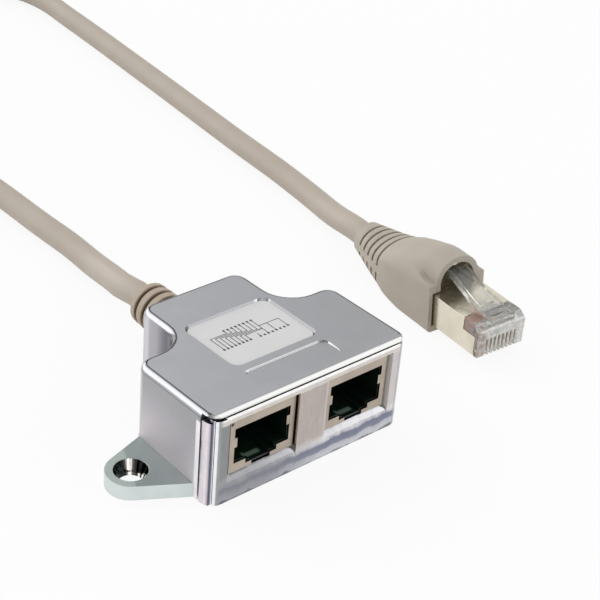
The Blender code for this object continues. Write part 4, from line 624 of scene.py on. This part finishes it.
# Lug: the screw hole, and the line where its top turns from pale to the grey of a painted reflection of the
# wall, in mm
HOLE_AT = (-28.25, -4.1)
HOLE_RIM = (3.06, 3.02)
HOLE_TOP = (2.98, 2.94)
TURN_LINE_AT = (-26.02, 1.11)
TURN_LINE_WAY = (0.92, 0.393)
TURN_LINE_SOFT = (-0.25, 0.15)
LUG_FACING_UP = (0.9, 0.5)
LUG_ROUGH = (0.34, 0.46)
LUG_PATCH = 150.0
LUG_HAZE_SCALE = 300.0
LUG_PALE = (0.47, 0.53, 0.50)
LUG_WALL_REFLECTION = (0.335, 0.385, 0.375)
LUG_LIT_SIDE = ((0.62, 0.69, 0.68), (0.70, 0.755, 0.745))
LUG_HAZE = ((0.94, 0.95, 0.95), (1.0, 1.0, 1.0))
CONE_DARK_REFLECTION = (0.025, 0.03, 0.03)
CONE_PALE_REFLECTION = (0.97, 0.96, 0.94)
CONE_ROUGH = (0.06, 0.06, 0.06)
CONE_REFLECTION_BY_DEGREES = [(-60.0, CONE_PALE_REFLECTION), (-25.0, CONE_PALE_REFLECTION), (-21.0, CONE_DARK_REFLECTION), (-14.0, CONE_DARK_REFLECTION),
                   (-12.0, CONE_PALE_REFLECTION), (-4.0, CONE_PALE_REFLECTION), (0.0, CONE_DARK_REFLECTION), (8.0, CONE_DARK_REFLECTION),
                   (12.0, CONE_PALE_REFLECTION), (18.0, CONE_PALE_REFLECTION), (23.0, CONE_DARK_REFLECTION), (40.0, (0.10, 0.09, 0.08)),
                   (49.0, (0.25, 0.22, 0.2)), (53.0, CONE_PALE_REFLECTION), (64.0, CONE_PALE_REFLECTION),
                   (68.0, (0.30, 0.26, 0.22)), (76.0, CONE_DARK_REFLECTION), (150.0, CONE_DARK_REFLECTION)]


def lug_plating():
    """Dull grey plating, with a polished cone round the screw hole; the top greys towards the wall in a
    painted reflection, the side is painted paler as if lit, and the cone carries painted dark and pale
    reflection streaks.
    """
    made, tree, shader = new_material("grey_plating")
    shader.inputs["Metallic"].default_value = 1.0
    x, y, z = place_mm(tree)
    # Painted reflection: the top turns from pale to grey towards the wall.
    steps = [calc(tree, "MULTIPLY", calc(tree, "SUBTRACT", part, at), way)
             for part, at, way in zip((x, y), TURN_LINE_AT, TURN_LINE_WAY)]
    across = calc(tree, "SUBTRACT", *steps)
    top = blend(tree, rise(tree, across, *TURN_LINE_SOFT), LUG_PALE, LUG_WALL_REFLECTION)
    # Painted light: the lug's side is paler than its top.
    side = patchy(tree, noise(tree, LUG_PATCH), *LUG_LIT_SIDE)
    colour = blend(tree, rise(tree, facing(tree)[2], *LUG_FACING_UP), top, side)
    haze = patchy(tree, noise(tree, LUG_HAZE_SCALE, PATCH_DETAIL), *LUG_HAZE)
    colour = blend(tree, 1.0, colour, haze, "MULTIPLY")
    # Painted reflection: dark and pale streaks round the cone by angle.
    east = calc(tree, "SUBTRACT", x, HOLE_AT[0])
    north = calc(tree, "SUBTRACT", y, HOLE_AT[1])
    degrees = calc(tree, "MULTIPLY", calc(tree, "ARCTAN2", north, east), math.degrees(1.0))
    cone = both(tree, rise(tree, distance(tree, east, north), *HOLE_RIM), rise(tree, z, *HOLE_TOP))
    colour = blend(tree, cone, colour, along(tree, degrees, CONE_REFLECTION_BY_DEGREES))
    tree.links.new(colour, shader.inputs["Base Color"])
    rough = span(tree, noise(tree, METAL_ROUGH), *LUG_ROUGH)
    tree.links.new(blend(tree, cone, rough, CONE_ROUGH), shader.inputs["Roughness"])
    metal_bump(tree, shader, 0.00003, 0.000003)
    return made


# Jack shields: the rivet hole at the left jack's upper corner, in mm
NICKEL = ((0.38, 0.325, 0.27), (0.50, 0.43, 0.36))
RIVET_AT = (-16.95, 15.35)
RIVET_EDGE = (0.36, 0.28)
RIVET_FACE_Y = (-16.0, -16.3)
RIVET_HOLE_SHADE = (0.01, 0.01, 0.01)


def jack_nickel():
    """Warm nickel sheet of the jack shields, with one small rivet hole painted in as a black spot of shade.
    """
    made, tree, shader = new_material("jack_nickel")
    x, y, z = place_mm(tree)
    colour = patchy(tree, noise(tree, METAL_PATCH, PATCH_DETAIL), *NICKEL, METAL_EDGES)
    # Painted shade: a black spot where the rivet hole is.
    reach = distance(tree, calc(tree, "SUBTRACT", x, RIVET_AT[0]), calc(tree, "SUBTRACT", z, RIVET_AT[1]))
    hole = both(tree, rise(tree, reach, *RIVET_EDGE), rise(tree, y, *RIVET_FACE_Y))
    tree.links.new(blend(tree, hole, colour, RIVET_HOLE_SHADE), shader.inputs["Base Color"])
    tree.links.new(opposite(tree, hole), shader.inputs["Metallic"])
    metal_surface(tree, shader, (0.25, 0.38), 0.00002, 0.000002)
    return made


# Strain relief: the rings' radius at the tip in mm, its growth per mm, and how deep the painted shade in the
# grooves begins
RING_RADIUS = 4.25
RING_GROWTH = 0.0447
GROOVE_DEPTH = (-0.2, -0.6)
GROOVE_SHADE_SHARE = 0.85
GROOVE_SHADE_COLOUR = (0.12, 0.09, 0.06)
RELIEF_TONES = ((0.37, 0.295, 0.22), (0.46, 0.375, 0.29))


def relief_rubber():
    """Beige rubber of the strain relief, darker down in its grooves with painted shade."""
    made, tree, shader = new_material("relief_rubber")
    x, y, z = place_mm(tree)
    reach = distance(tree, x, calc(tree, "SUBTRACT", z, CABLE_HEIGHT / MM))
    # Painted shade: darker brown down in the grooves between the rings.
    growth = calc(tree, "MULTIPLY", calc(tree, "SUBTRACT", RELIEF_TIP / MM, y), RING_GROWTH)
    depth = calc(tree, "SUBTRACT", reach, calc(tree, "ADD", RING_RADIUS, growth))
    groove_shade = calc(tree, "MULTIPLY", rise(tree, depth, *GROOVE_DEPTH), GROOVE_SHADE_SHARE)
    colour = patchy(tree, noise(tree, PLASTIC_PATCH, PATCH_DETAIL), *RELIEF_TONES)
    tree.links.new(blend(tree, groove_shade, colour, GROOVE_SHADE_COLOUR), shader.inputs["Base Color"])
    plastic_surface(tree, shader, (0.45, 0.6), 0.000014)
    return made


# Jack inserts: the painted highlight on the ledge by each latch notch, in mm
LEDGE_FACING_UP = (0.5, 0.8)
LEDGE_Y = (-15.0, -14.0, 0.2)
LEDGE_LEFT_X = (-12.9, -9.3, 0.2)
LEDGE_RIGHT_X = (7.9, 11.5, 0.2)
LEDGE_HIGHLIGHT = (0.15, 0.22, 0.17)
INSERT_TONES = ((0.003, 0.006, 0.004), (0.005, 0.018, 0.011))


def insert_moulding():
    """Black jack moulding with a greenish cast, and a painted highlight on the upward ledge by the latch
    notch.
    """
    made, tree, shader = new_material("insert_moulding")
    x, y, _ = place_mm(tree)
    # Painted highlight: the upward ledge by each latch notch is paler green-grey.
    across = calc(tree, "MAXIMUM", window(tree, x, *LEDGE_LEFT_X), window(tree, x, *LEDGE_RIGHT_X))
    ledge = both(tree, rise(tree, facing(tree)[2], *LEDGE_FACING_UP), window(tree, y, *LEDGE_Y), across)
    colour = patchy(tree, noise(tree, PLASTIC_PATCH, PATCH_DETAIL), *INSERT_TONES)
    tree.links.new(blend(tree, ledge, colour, LEDGE_HIGHLIGHT), shader.inputs["Base Color"])
    plastic_surface(tree, shader, (0.28, 0.42), 0.000006)
    return made


# Clear plug: colours, and places in mm across the plug and back from its nose
CLEAR_COLOUR = (0.95, 0.95, 0.93, 1.0)
CLEAR_IOR = 1.2
CLEAR_ROUGH = (0.04, 0.16)
CLEAR_WAVE = (350.0, BUMP_DETAIL, 0.00003)
MILK_GRAIN = (1500.0, GRAIN_DETAIL, 0.00001)
MILK_NOISE = (1300.0, 5.0, 0.65)
MILK_TONES = ((0.46, 0.48, 0.46), (0.95, 0.96, 0.93))
MILK_EDGES = (0.36, 0.64)
MILK_ROUGH = 0.22
WARM_ACROSS = (-6.2, -2.7, 0.5)
WARM_BACK = (2.2, 7.4, 0.4)
WARM_COLOUR = (0.38, 0.225, 0.165)
WARM_SHARE = 0.9
NOSE_ACROSS = (-6.2, -4.0, 0.4)
NOSE_BACK = (1.6, 1.0)
NOSE_COLOUR = (0.46, 0.34, 0.27)
NOSE_NOISE = (800.0, 4.0, 0.65)
NOSE_EDGES = (0.42, 0.58)
NOSE_SHARES = (0.15, 0.85)
FRONT_BACK = (0.5, 0.2)
FRONT_COLOUR = (0.98, 0.94, 0.91)
FRONT_SHARE = 0.4
CLEARER_BACK = (16.0, 5.0)

# Clear plug: how much of each place is milky
HAZE_NOISE = (1000.0, 5.0, 0.7)
HAZE_SHARES = (0.02, 0.52)
WARM_MILK = 0.5
REAR_MILK = 0.25
EDGE_MILK = 0.38
EDGE_TURNED = (0.93, 0.86)


def place_in_plug(tree):
    """Millimetres across the plug, and back from its nose."""
    x, y, _ = place_mm(tree)
    east = calc(tree, "SUBTRACT", x, PLUG_PLACE.x / MM)
    north = calc(tree, "SUBTRACT", y, PLUG_PLACE.y / MM)
    cos, sin = math.cos(PLUG_TURN), math.sin(PLUG_TURN)
    across = calc(tree, "ADD", calc(tree, "MULTIPLY", east, cos), calc(tree, "MULTIPLY", north, sin))
    back = calc(tree, "SUBTRACT", calc(tree, "MULTIPLY", north, cos), calc(tree, "MULTIPLY", east, sin))
    return across, back


def clear_plastic():
    """Clear moulded plastic with milky haze, and a warm tint where wires show through at the nose."""
    made, tree, shader = new_material("clear_moulding")
    shader.inputs["Base Color"].default_value = CLEAR_COLOUR
    shader.inputs["Transmission Weight"].default_value = 1.0
    shader.inputs["IOR"].default_value = CLEAR_IOR
    rough = span(tree, noise(tree, PLASTIC_ROUGH, BUMP_DETAIL), *CLEAR_ROUGH)
    tree.links.new(rough, shader.inputs["Roughness"])
    bump(tree, shader, CLEAR_WAVE)
    across, back = place_in_plug(tree)
    milk = add(tree, "ShaderNodeBsdfPrincipled")
    milk.inputs["Roughness"].default_value = MILK_ROUGH
    bump(tree, milk, CLEAR_WAVE, MILK_GRAIN)
    haze = patchy(tree, noise(tree, *MILK_NOISE), *MILK_TONES, MILK_EDGES)
    warm = both(tree, window(tree, across, *WARM_ACROSS), window(tree, back, *WARM_BACK))
    haze = blend(tree, calc(tree, "MULTIPLY", warm, WARM_SHARE), haze, WARM_COLOUR)
    front = rise(tree, back, *FRONT_BACK)
    haze = blend(tree, calc(tree, "MULTIPLY", front, FRONT_SHARE), haze, FRONT_COLOUR)
    nose = both(tree, window(tree, across, *NOSE_ACROSS), rise(tree, back, *NOSE_BACK))
    spots = span(tree, rise(tree, noise(tree, *NOSE_NOISE), *NOSE_EDGES), *NOSE_SHARES)
    haze = blend(tree, calc(tree, "MULTIPLY", nose, spots), haze, NOSE_COLOUR)
    tree.links.new(haze, milk.inputs["Base Color"])
    share = calc(tree, "ADD", span(tree, noise(tree, *HAZE_NOISE), *HAZE_SHARES),
                 calc(tree, "MULTIPLY", warm, WARM_MILK))
    near = calc(tree, "MULTIPLY", 1.0 - REAR_MILK, rise(tree, back, *CLEARER_BACK))
    share = calc(tree, "MULTIPLY", share, calc(tree, "ADD", REAR_MILK, near))
    edge = rise(tree, flatness(tree, sizes_of(tree, facing(tree))), *EDGE_TURNED)
    share = calc(tree, "ADD", share, calc(tree, "MULTIPLY", edge, EDGE_MILK))
    share = calc(tree, "ADD", share, calc(tree, "MULTIPLY", front, FRONT_SHARE))
    surface_mix(tree, calc(tree, "MINIMUM", share, 1.0), shader, milk)
    return made


chrome = housing_plating()
panel_chrome = panel_plating()
zinc = lug_plating()
jack_tin = jack_nickel()
plug_tin = metal("plug_nickel", (0.78, 0.73, 0.62), (0.66, 0.60, 0.48), (0.18, 0.32), 0.00004, 0.000002)
screw_tin = metal("screw_plating", (0.60, 0.60, 0.62), (0.50, 0.50, 0.52), (0.2, 0.35), 0.00001, 0.000003)
gold = metal("contact_gold", (0.92, 0.66, 0.30), (0.80, 0.54, 0.22), (0.15, 0.3), 0.00001, 0.000001)
jacket = plastic("lead_jacket", (0.46, 0.40, 0.335), (0.43, 0.37, 0.31), (0.42, 0.55), 0.000012)
boot_skin = plastic("boot_rubber", (0.445, 0.395, 0.33), (0.41, 0.365, 0.305), (0.48, 0.62), 0.000016)
relief_skin = relief_rubber()
insert_black = insert_moulding()
board_green = plastic("board_mask", (0.03, 0.16, 0.07), (0.02, 0.11, 0.05), (0.3, 0.45), 0.000005)
film = plastic("label_film", (0.66, 0.66, 0.655), (0.63, 0.635, 0.63), (0.35, 0.5), 0.000004)
ink = plastic("label_ink", (0.03, 0.03, 0.03), (0.05, 0.05, 0.05), (0.45, 0.6), 0.000002)
clear = clear_plastic()
insulation = [
    plastic("wire_orange", (0.75, 0.28, 0.06), (0.65, 0.22, 0.05), (0.35, 0.5), 0.000004),
    plastic("wire_green", (0.05, 0.38, 0.13), (0.04, 0.30, 0.10), (0.35, 0.5), 0.000004),
    plastic("wire_blue", (0.06, 0.16, 0.52), (0.05, 0.12, 0.44), (0.35, 0.5), 0.000004),
    plastic("wire_brown", (0.24, 0.12, 0.06), (0.18, 0.09, 0.04), (0.35, 0.5), 0.000004),
]
ribbon_skin = plastic("ribbon_wires", (0.66, 0.40, 0.31), (0.55, 0.33, 0.27), (0.35, 0.5), 0.000004)


def make_lead():
    """The lead as one smooth tube along the same route as its solid, and the route's length."""
    inside = (CABLE_END, (CABLE_END + RELIEF_TIP) / 2, RELIEF_TIP, RELIEF_TIP + CABLE_STRAIGHT)
    start = [(0.0, y, CABLE_HEIGHT) for y in inside]
    free = [(x * MM, y * MM, z * MM) for x, y, z in LEAD_ROUTE_MM]
    last = PLUG_LENGTH + PLUG_GAP
    in_boot = (BOOT_END + CABLE_STRAIGHT, BOOT_END, (BOOT_END + last) / 2, last)
    end = [PLUG_FRAME @ Vector((0.0, y, PLUG_AXIS)) for y in in_boot]
    points, length = smooth_route(start + free + end, LEAD_SPACING)
    curve = bpy.data.curves.new("lead_jacket", "CURVE")
    curve.dimensions = "3D"
    curve.bevel_depth = CABLE_RADIUS
    curve.bevel_resolution = TUBE_RESOLUTION
    curve.use_fill_caps = True
    spline = curve.splines.new("POLY")
    spline.points.add(len(points) - 1)
    for point, at in zip(spline.points, points):
        point.co = (*at, 1.0)
    spline.use_smooth = True
    return link("lead_jacket", curve, jacket, ("lead",)), length


lead, lead_length = make_lead()

# Housing pieces: name, solid, finish, bevel in mm and its segments
refined("cover_shell", "cover", chrome, 0.16, 3)
refined("panel_plate", "front_panel", panel_chrome, 0.14, 2)
refined("base_and_lug", "base_plate", zinc, 0.3, 3)
refined("label_film", "label", film, 0.04, 2)
for side in ("left", "right"):
    refined(f"jack_can_{side}", f"jack_shield_{side}", jack_tin, 0.06, 2)
    refined(f"jack_block_{side}", f"jack_insert_{side}", insert_black, 0.08, 2)
refined("relief_rings", "strain_relief", relief_skin, 0.16, 3)
refined("clamp_saddle", "cable_clamp", screw_tin, 0.15, 2)
refined("board", "circuit_board", board_green, 0.08, 2)
for index in (1, 2, 3):
    refined(f"screw_head_{index}", f"screw_{index}", screw_tin, 0.08, 2)

# Fillers in the left wall's notch, in mm: how far they reach through the wall, and their ends
WALL_REACH = (-21.79, -21.3)
NOTCH_BAR = ((-13.18, 3.01), (2.88, 3.29))
NOTCH_ENDS = ((-13.18, -12.92), (2.62, 2.88))
NOTCH_END_HEIGHT = (0.05, 3.0)

# Bead along the panel's top edge, in mm: its two corners and its broken edge
RIM_LOW = (-18.7, -17.17, 17.4)
RIM_HIGH = (19.6, -16.7, 17.88)
RIM_BEVEL = 0.06


def make_wall_seam():
    """Filler between the lug and the notch in the housing's left wall."""
    work = bmesh.new()
    outside, inside = WALL_REACH
    (near, bottom), (far, top) = NOTCH_BAR
    box_into(work, (outside, near, bottom), (inside, far, top))
    bottom, top = NOTCH_END_HEIGHT
    for near, far in NOTCH_ENDS:
        box_into(work, (outside, near, bottom), (inside, far, top))
    link("wall_seam", finish_mesh(work, "wall_seam"), chrome)


def make_panel_rim():
    """Thin bead along the panel's top edge, pale from the panel's painted rim highlight, which leaves a fine
    line of shade under the lip.
    """
    work = bmesh.new()
    box_into(work, RIM_LOW, RIM_HIGH, RIM_BEVEL)
    link("panel_rim", finish_mesh(work, "panel_rim"), panel_chrome)


make_wall_seam()
make_panel_rim()

# Label diagram in mm: each row of pins as (first x, y, pitch), then the lines that join them
PIN_COUNT = 8
REAR_PINS = (-3.57, 3.53, 0.869)
LEFT_PINS = (-7.13, -1.36, 0.826)
RIGHT_PINS = (0.76, -1.52, 0.876)
PIN_HALF = (0.21, 0.24)
LINE_HALF = 0.15 / 2
INK_BOTTOM = -0.01
LINE_TOP = 0.011
PIN_TOP = 0.014
TRUNK_START = 2.65
TRUNK_STEP = 0.34
RIGHT_LINES = ((7, 1.3, 7), (4, 1.3, 7), (2, 0.35, 6), (0, -0.6, 5))


def pin_row(start, y, pitch):
    """The middles of one row of pins."""
    return [(start + index * pitch, y) for index in range(PIN_COUNT)]


def make_print():
    """A plain wiring diagram on the label: three rows of pins joined by lines, with no words."""
    work = bmesh.new()

    def line(points):
        """Straight strokes from point to point, each along an axis."""
        for first, second in zip(points, points[1:]):
            low = [min(pair) - LINE_HALF for pair in zip(first, second)]
            high = [max(pair) + LINE_HALF for pair in zip(first, second)]
            box_into(work, (*low, INK_BOTTOM), (*high, LINE_TOP))

    rear = pin_row(*REAR_PINS)
    left = pin_row(*LEFT_PINS)
    right = pin_row(*RIGHT_PINS)
    half_x, half_y = PIN_HALF
    for x, y in rear + left + right:
        box_into(work, (x - half_x, y - half_y, INK_BOTTOM), (x + half_x, y + half_y, PIN_TOP))
    for index in range(PIN_COUNT):
        trunk = TRUNK_START - TRUNK_STEP * index
        line([left[index], (left[index][0], trunk), (rear[index][0], trunk), rear[index]])
    for index, trunk, target in RIGHT_LINES:
        line([right[index], (right[index][0], trunk), (rear[target][0], trunk)])
    for vertex in work.verts:
        vertex.co.z += FILM_TOP - ROOF_FALL * (vertex.co.y - FRONT)
    link("label_diagram", finish_mesh(work, "label_diagram"), ink)


make_print()

# Contacts and conductors keep their solids and only get a finish
for name, node in nodes.items():
    if name.startswith(("jack_contact", "plug_contact")):
        paint(node.data, gold)
    elif name.startswith("conductor"):
        number = int(name.split("_")[1])
        paint(node.data, insulation[(number - 1) % len(insulation)])

# Plug pieces, as for the housing; the boot's edges count as sharp from a wider angle
BOOT_SHARP_DEGREES = 38.0
boot = refined("boot_skin", "plug_boot", boot_skin, 0.12, 2, BOOT_SHARP_DEGREES)
body = refined("plug_clear", "plug_body", clear, 0.15, 2)
shell = refined("plug_can", "plug_shield", plug_tin, 0.05, 2)

# Wires in the plug: below its top by the shell, a gap, the pocket's roof and half the pocket
WIRE_COUNT = 8
WIRE_PITCH = 1.02 * MM
WIRE_RADIUS = 0.47 * MM
WIRE_LENGTH = 14.6 * MM
WIRE_MIDDLE = 9.8 * MM
WIRE_HEIGHT = PLUG_TOP - (0.3 + 0.2 + 0.8 + 0.95) * MM
WIRE_SIDES = 14
WIRE_SHARP = math.radians(40.0)


def make_wires():
    """Eight round wires side by side, on the line of the ribbon's solid."""
    work = bmesh.new()
    for index in range(WIRE_COUNT):
        x = (index - (WIRE_COUNT - 1) / 2) * WIRE_PITCH
        turn = Matrix.Translation((x, WIRE_MIDDLE, WIRE_HEIGHT)) @ Matrix.Rotation(math.pi / 2, 4, "X")
        bmesh.ops.create_cone(work, cap_ends=True, segments=WIRE_SIDES, radius1=WIRE_RADIUS,
                              radius2=WIRE_RADIUS, depth=WIRE_LENGTH, matrix=turn)
    mesh = finish_mesh(work, "ribbon_wires")
    mesh.shade_smooth()
    mesh.set_sharp_from_angle(angle=WIRE_SHARP)
    mesh.transform(PLUG_FRAME)
    return link("ribbon_wires", mesh, ribbon_skin, ("wire_ribbon",))


wires = make_wires()

# Floor and light
WHITE = (1.0, 1.0, 1.0, 1.0)
FLOOR_COLOUR = (0.86, 0.86, 0.86, 1.0)
FLOOR_HALF = 3.0
FLOOR_HEIGHT = -0.0002
FLOOR_ROUGH = 0.9
FLOOR_GLOW = 0.90
WORLD_LEVEL = 0.60
CARD_SOFT = 2.0

# Cards that the plating mirrors: azimuths and heights in degrees, and the level
CARDS = [
    ((76.0, 152.0), (-4.0, 54.0), 2.3),
    ((-66.0, -29.0), (2.0, 40.0), 2.3),
    ((-28.0, 58.0), (22.0, 64.0), 0.97),
]
LAMP_PLACE = (-0.1, -0.15, 0.9)
LAMP_TARGET = (0.0, 0.0, 0.0)
LAMP_SIDE = 0.5
LAMP_POWER = 0.3


def make_stage():
    """A large pale floor that reads as white and keeps a soft shadow."""
    work = bmesh.new()
    bmesh.ops.create_grid(work, x_segments=8, y_segments=8, size=FLOOR_HALF)
    floor = bpy.data.objects.new("floor", finish_mesh(work, "floor"))
    floor.location = (0.0, 0.0, FLOOR_HEIGHT)
    bpy.context.scene.collection.objects.link(floor)
    made, tree, shader = new_material("floor_paper")
    shader.inputs["Base Color"].default_value = FLOOR_COLOUR
    shader.inputs["Roughness"].default_value = FLOOR_ROUGH
    shader.inputs["Specular IOR Level"].default_value = 0.0
    glow = add(tree, "ShaderNodeEmission")
    glow.inputs["Color"].default_value = WHITE
    glow.inputs["Strength"].default_value = 1.0
    rays = add(tree, "ShaderNodeLightPath").outputs
    seen = calc(tree, "MAXIMUM", rays["Is Camera Ray"], rays["Is Glossy Ray"])
    seen = calc(tree, "MAXIMUM", seen, rays["Is Transmission Ray"])
    surface_mix(tree, calc(tree, "MULTIPLY", seen, FLOOR_GLOW), shader, glow)
    floor.data.materials.append(made)


def make_world():
    """A pale studio: an even level all round, with a few soft cards that the plating mirrors."""
    world = bpy.data.worlds.new("studio")
    bpy.context.scene.world = world
    world.use_nodes = True
    tree = world.node_tree
    back = tree.nodes["Background"]
    back.inputs["Color"].default_value = WHITE
    x, y, z = split_axes(tree, add(tree, "ShaderNodeTexCoord").outputs["Generated"])
    azimuth = calc(tree, "MULTIPLY", calc(tree, "ARCTAN2", y, x), math.degrees(1.0))
    height = calc(tree, "MULTIPLY", calc(tree, "ARCSINE", z), math.degrees(1.0))
    level = WORLD_LEVEL
    for (west, east), (low, high), bright in CARDS:
        card = both(tree, window(tree, azimuth, west, east, CARD_SOFT),
                    window(tree, height, low, high, CARD_SOFT))
        level = calc(tree, "ADD", level, calc(tree, "MULTIPLY", card, bright - WORLD_LEVEL))
    tree.links.new(level, back.inputs["Strength"])


def make_lamp():
    """A square soft lamp overhead that faces the housing."""
    data = bpy.data.lights.new("overhead", "AREA")
    data.shape = "RECTANGLE"
    data.size = LAMP_SIDE
    data.size_y = LAMP_SIDE
    data.energy = LAMP_POWER
    lamp = bpy.data.objects.new("overhead", data)
    bpy.context.scene.collection.objects.link(lamp)
    way = Vector(LAMP_TARGET) - Vector(LAMP_PLACE)
    lamp.matrix_world = Matrix.Translation(LAMP_PLACE) @ way.to_track_quat("-Z", "Y").to_matrix().to_4x4()


make_stage()
make_world()
make_lamp()

bpy.context.scene.view_settings.view_transform = "Standard"
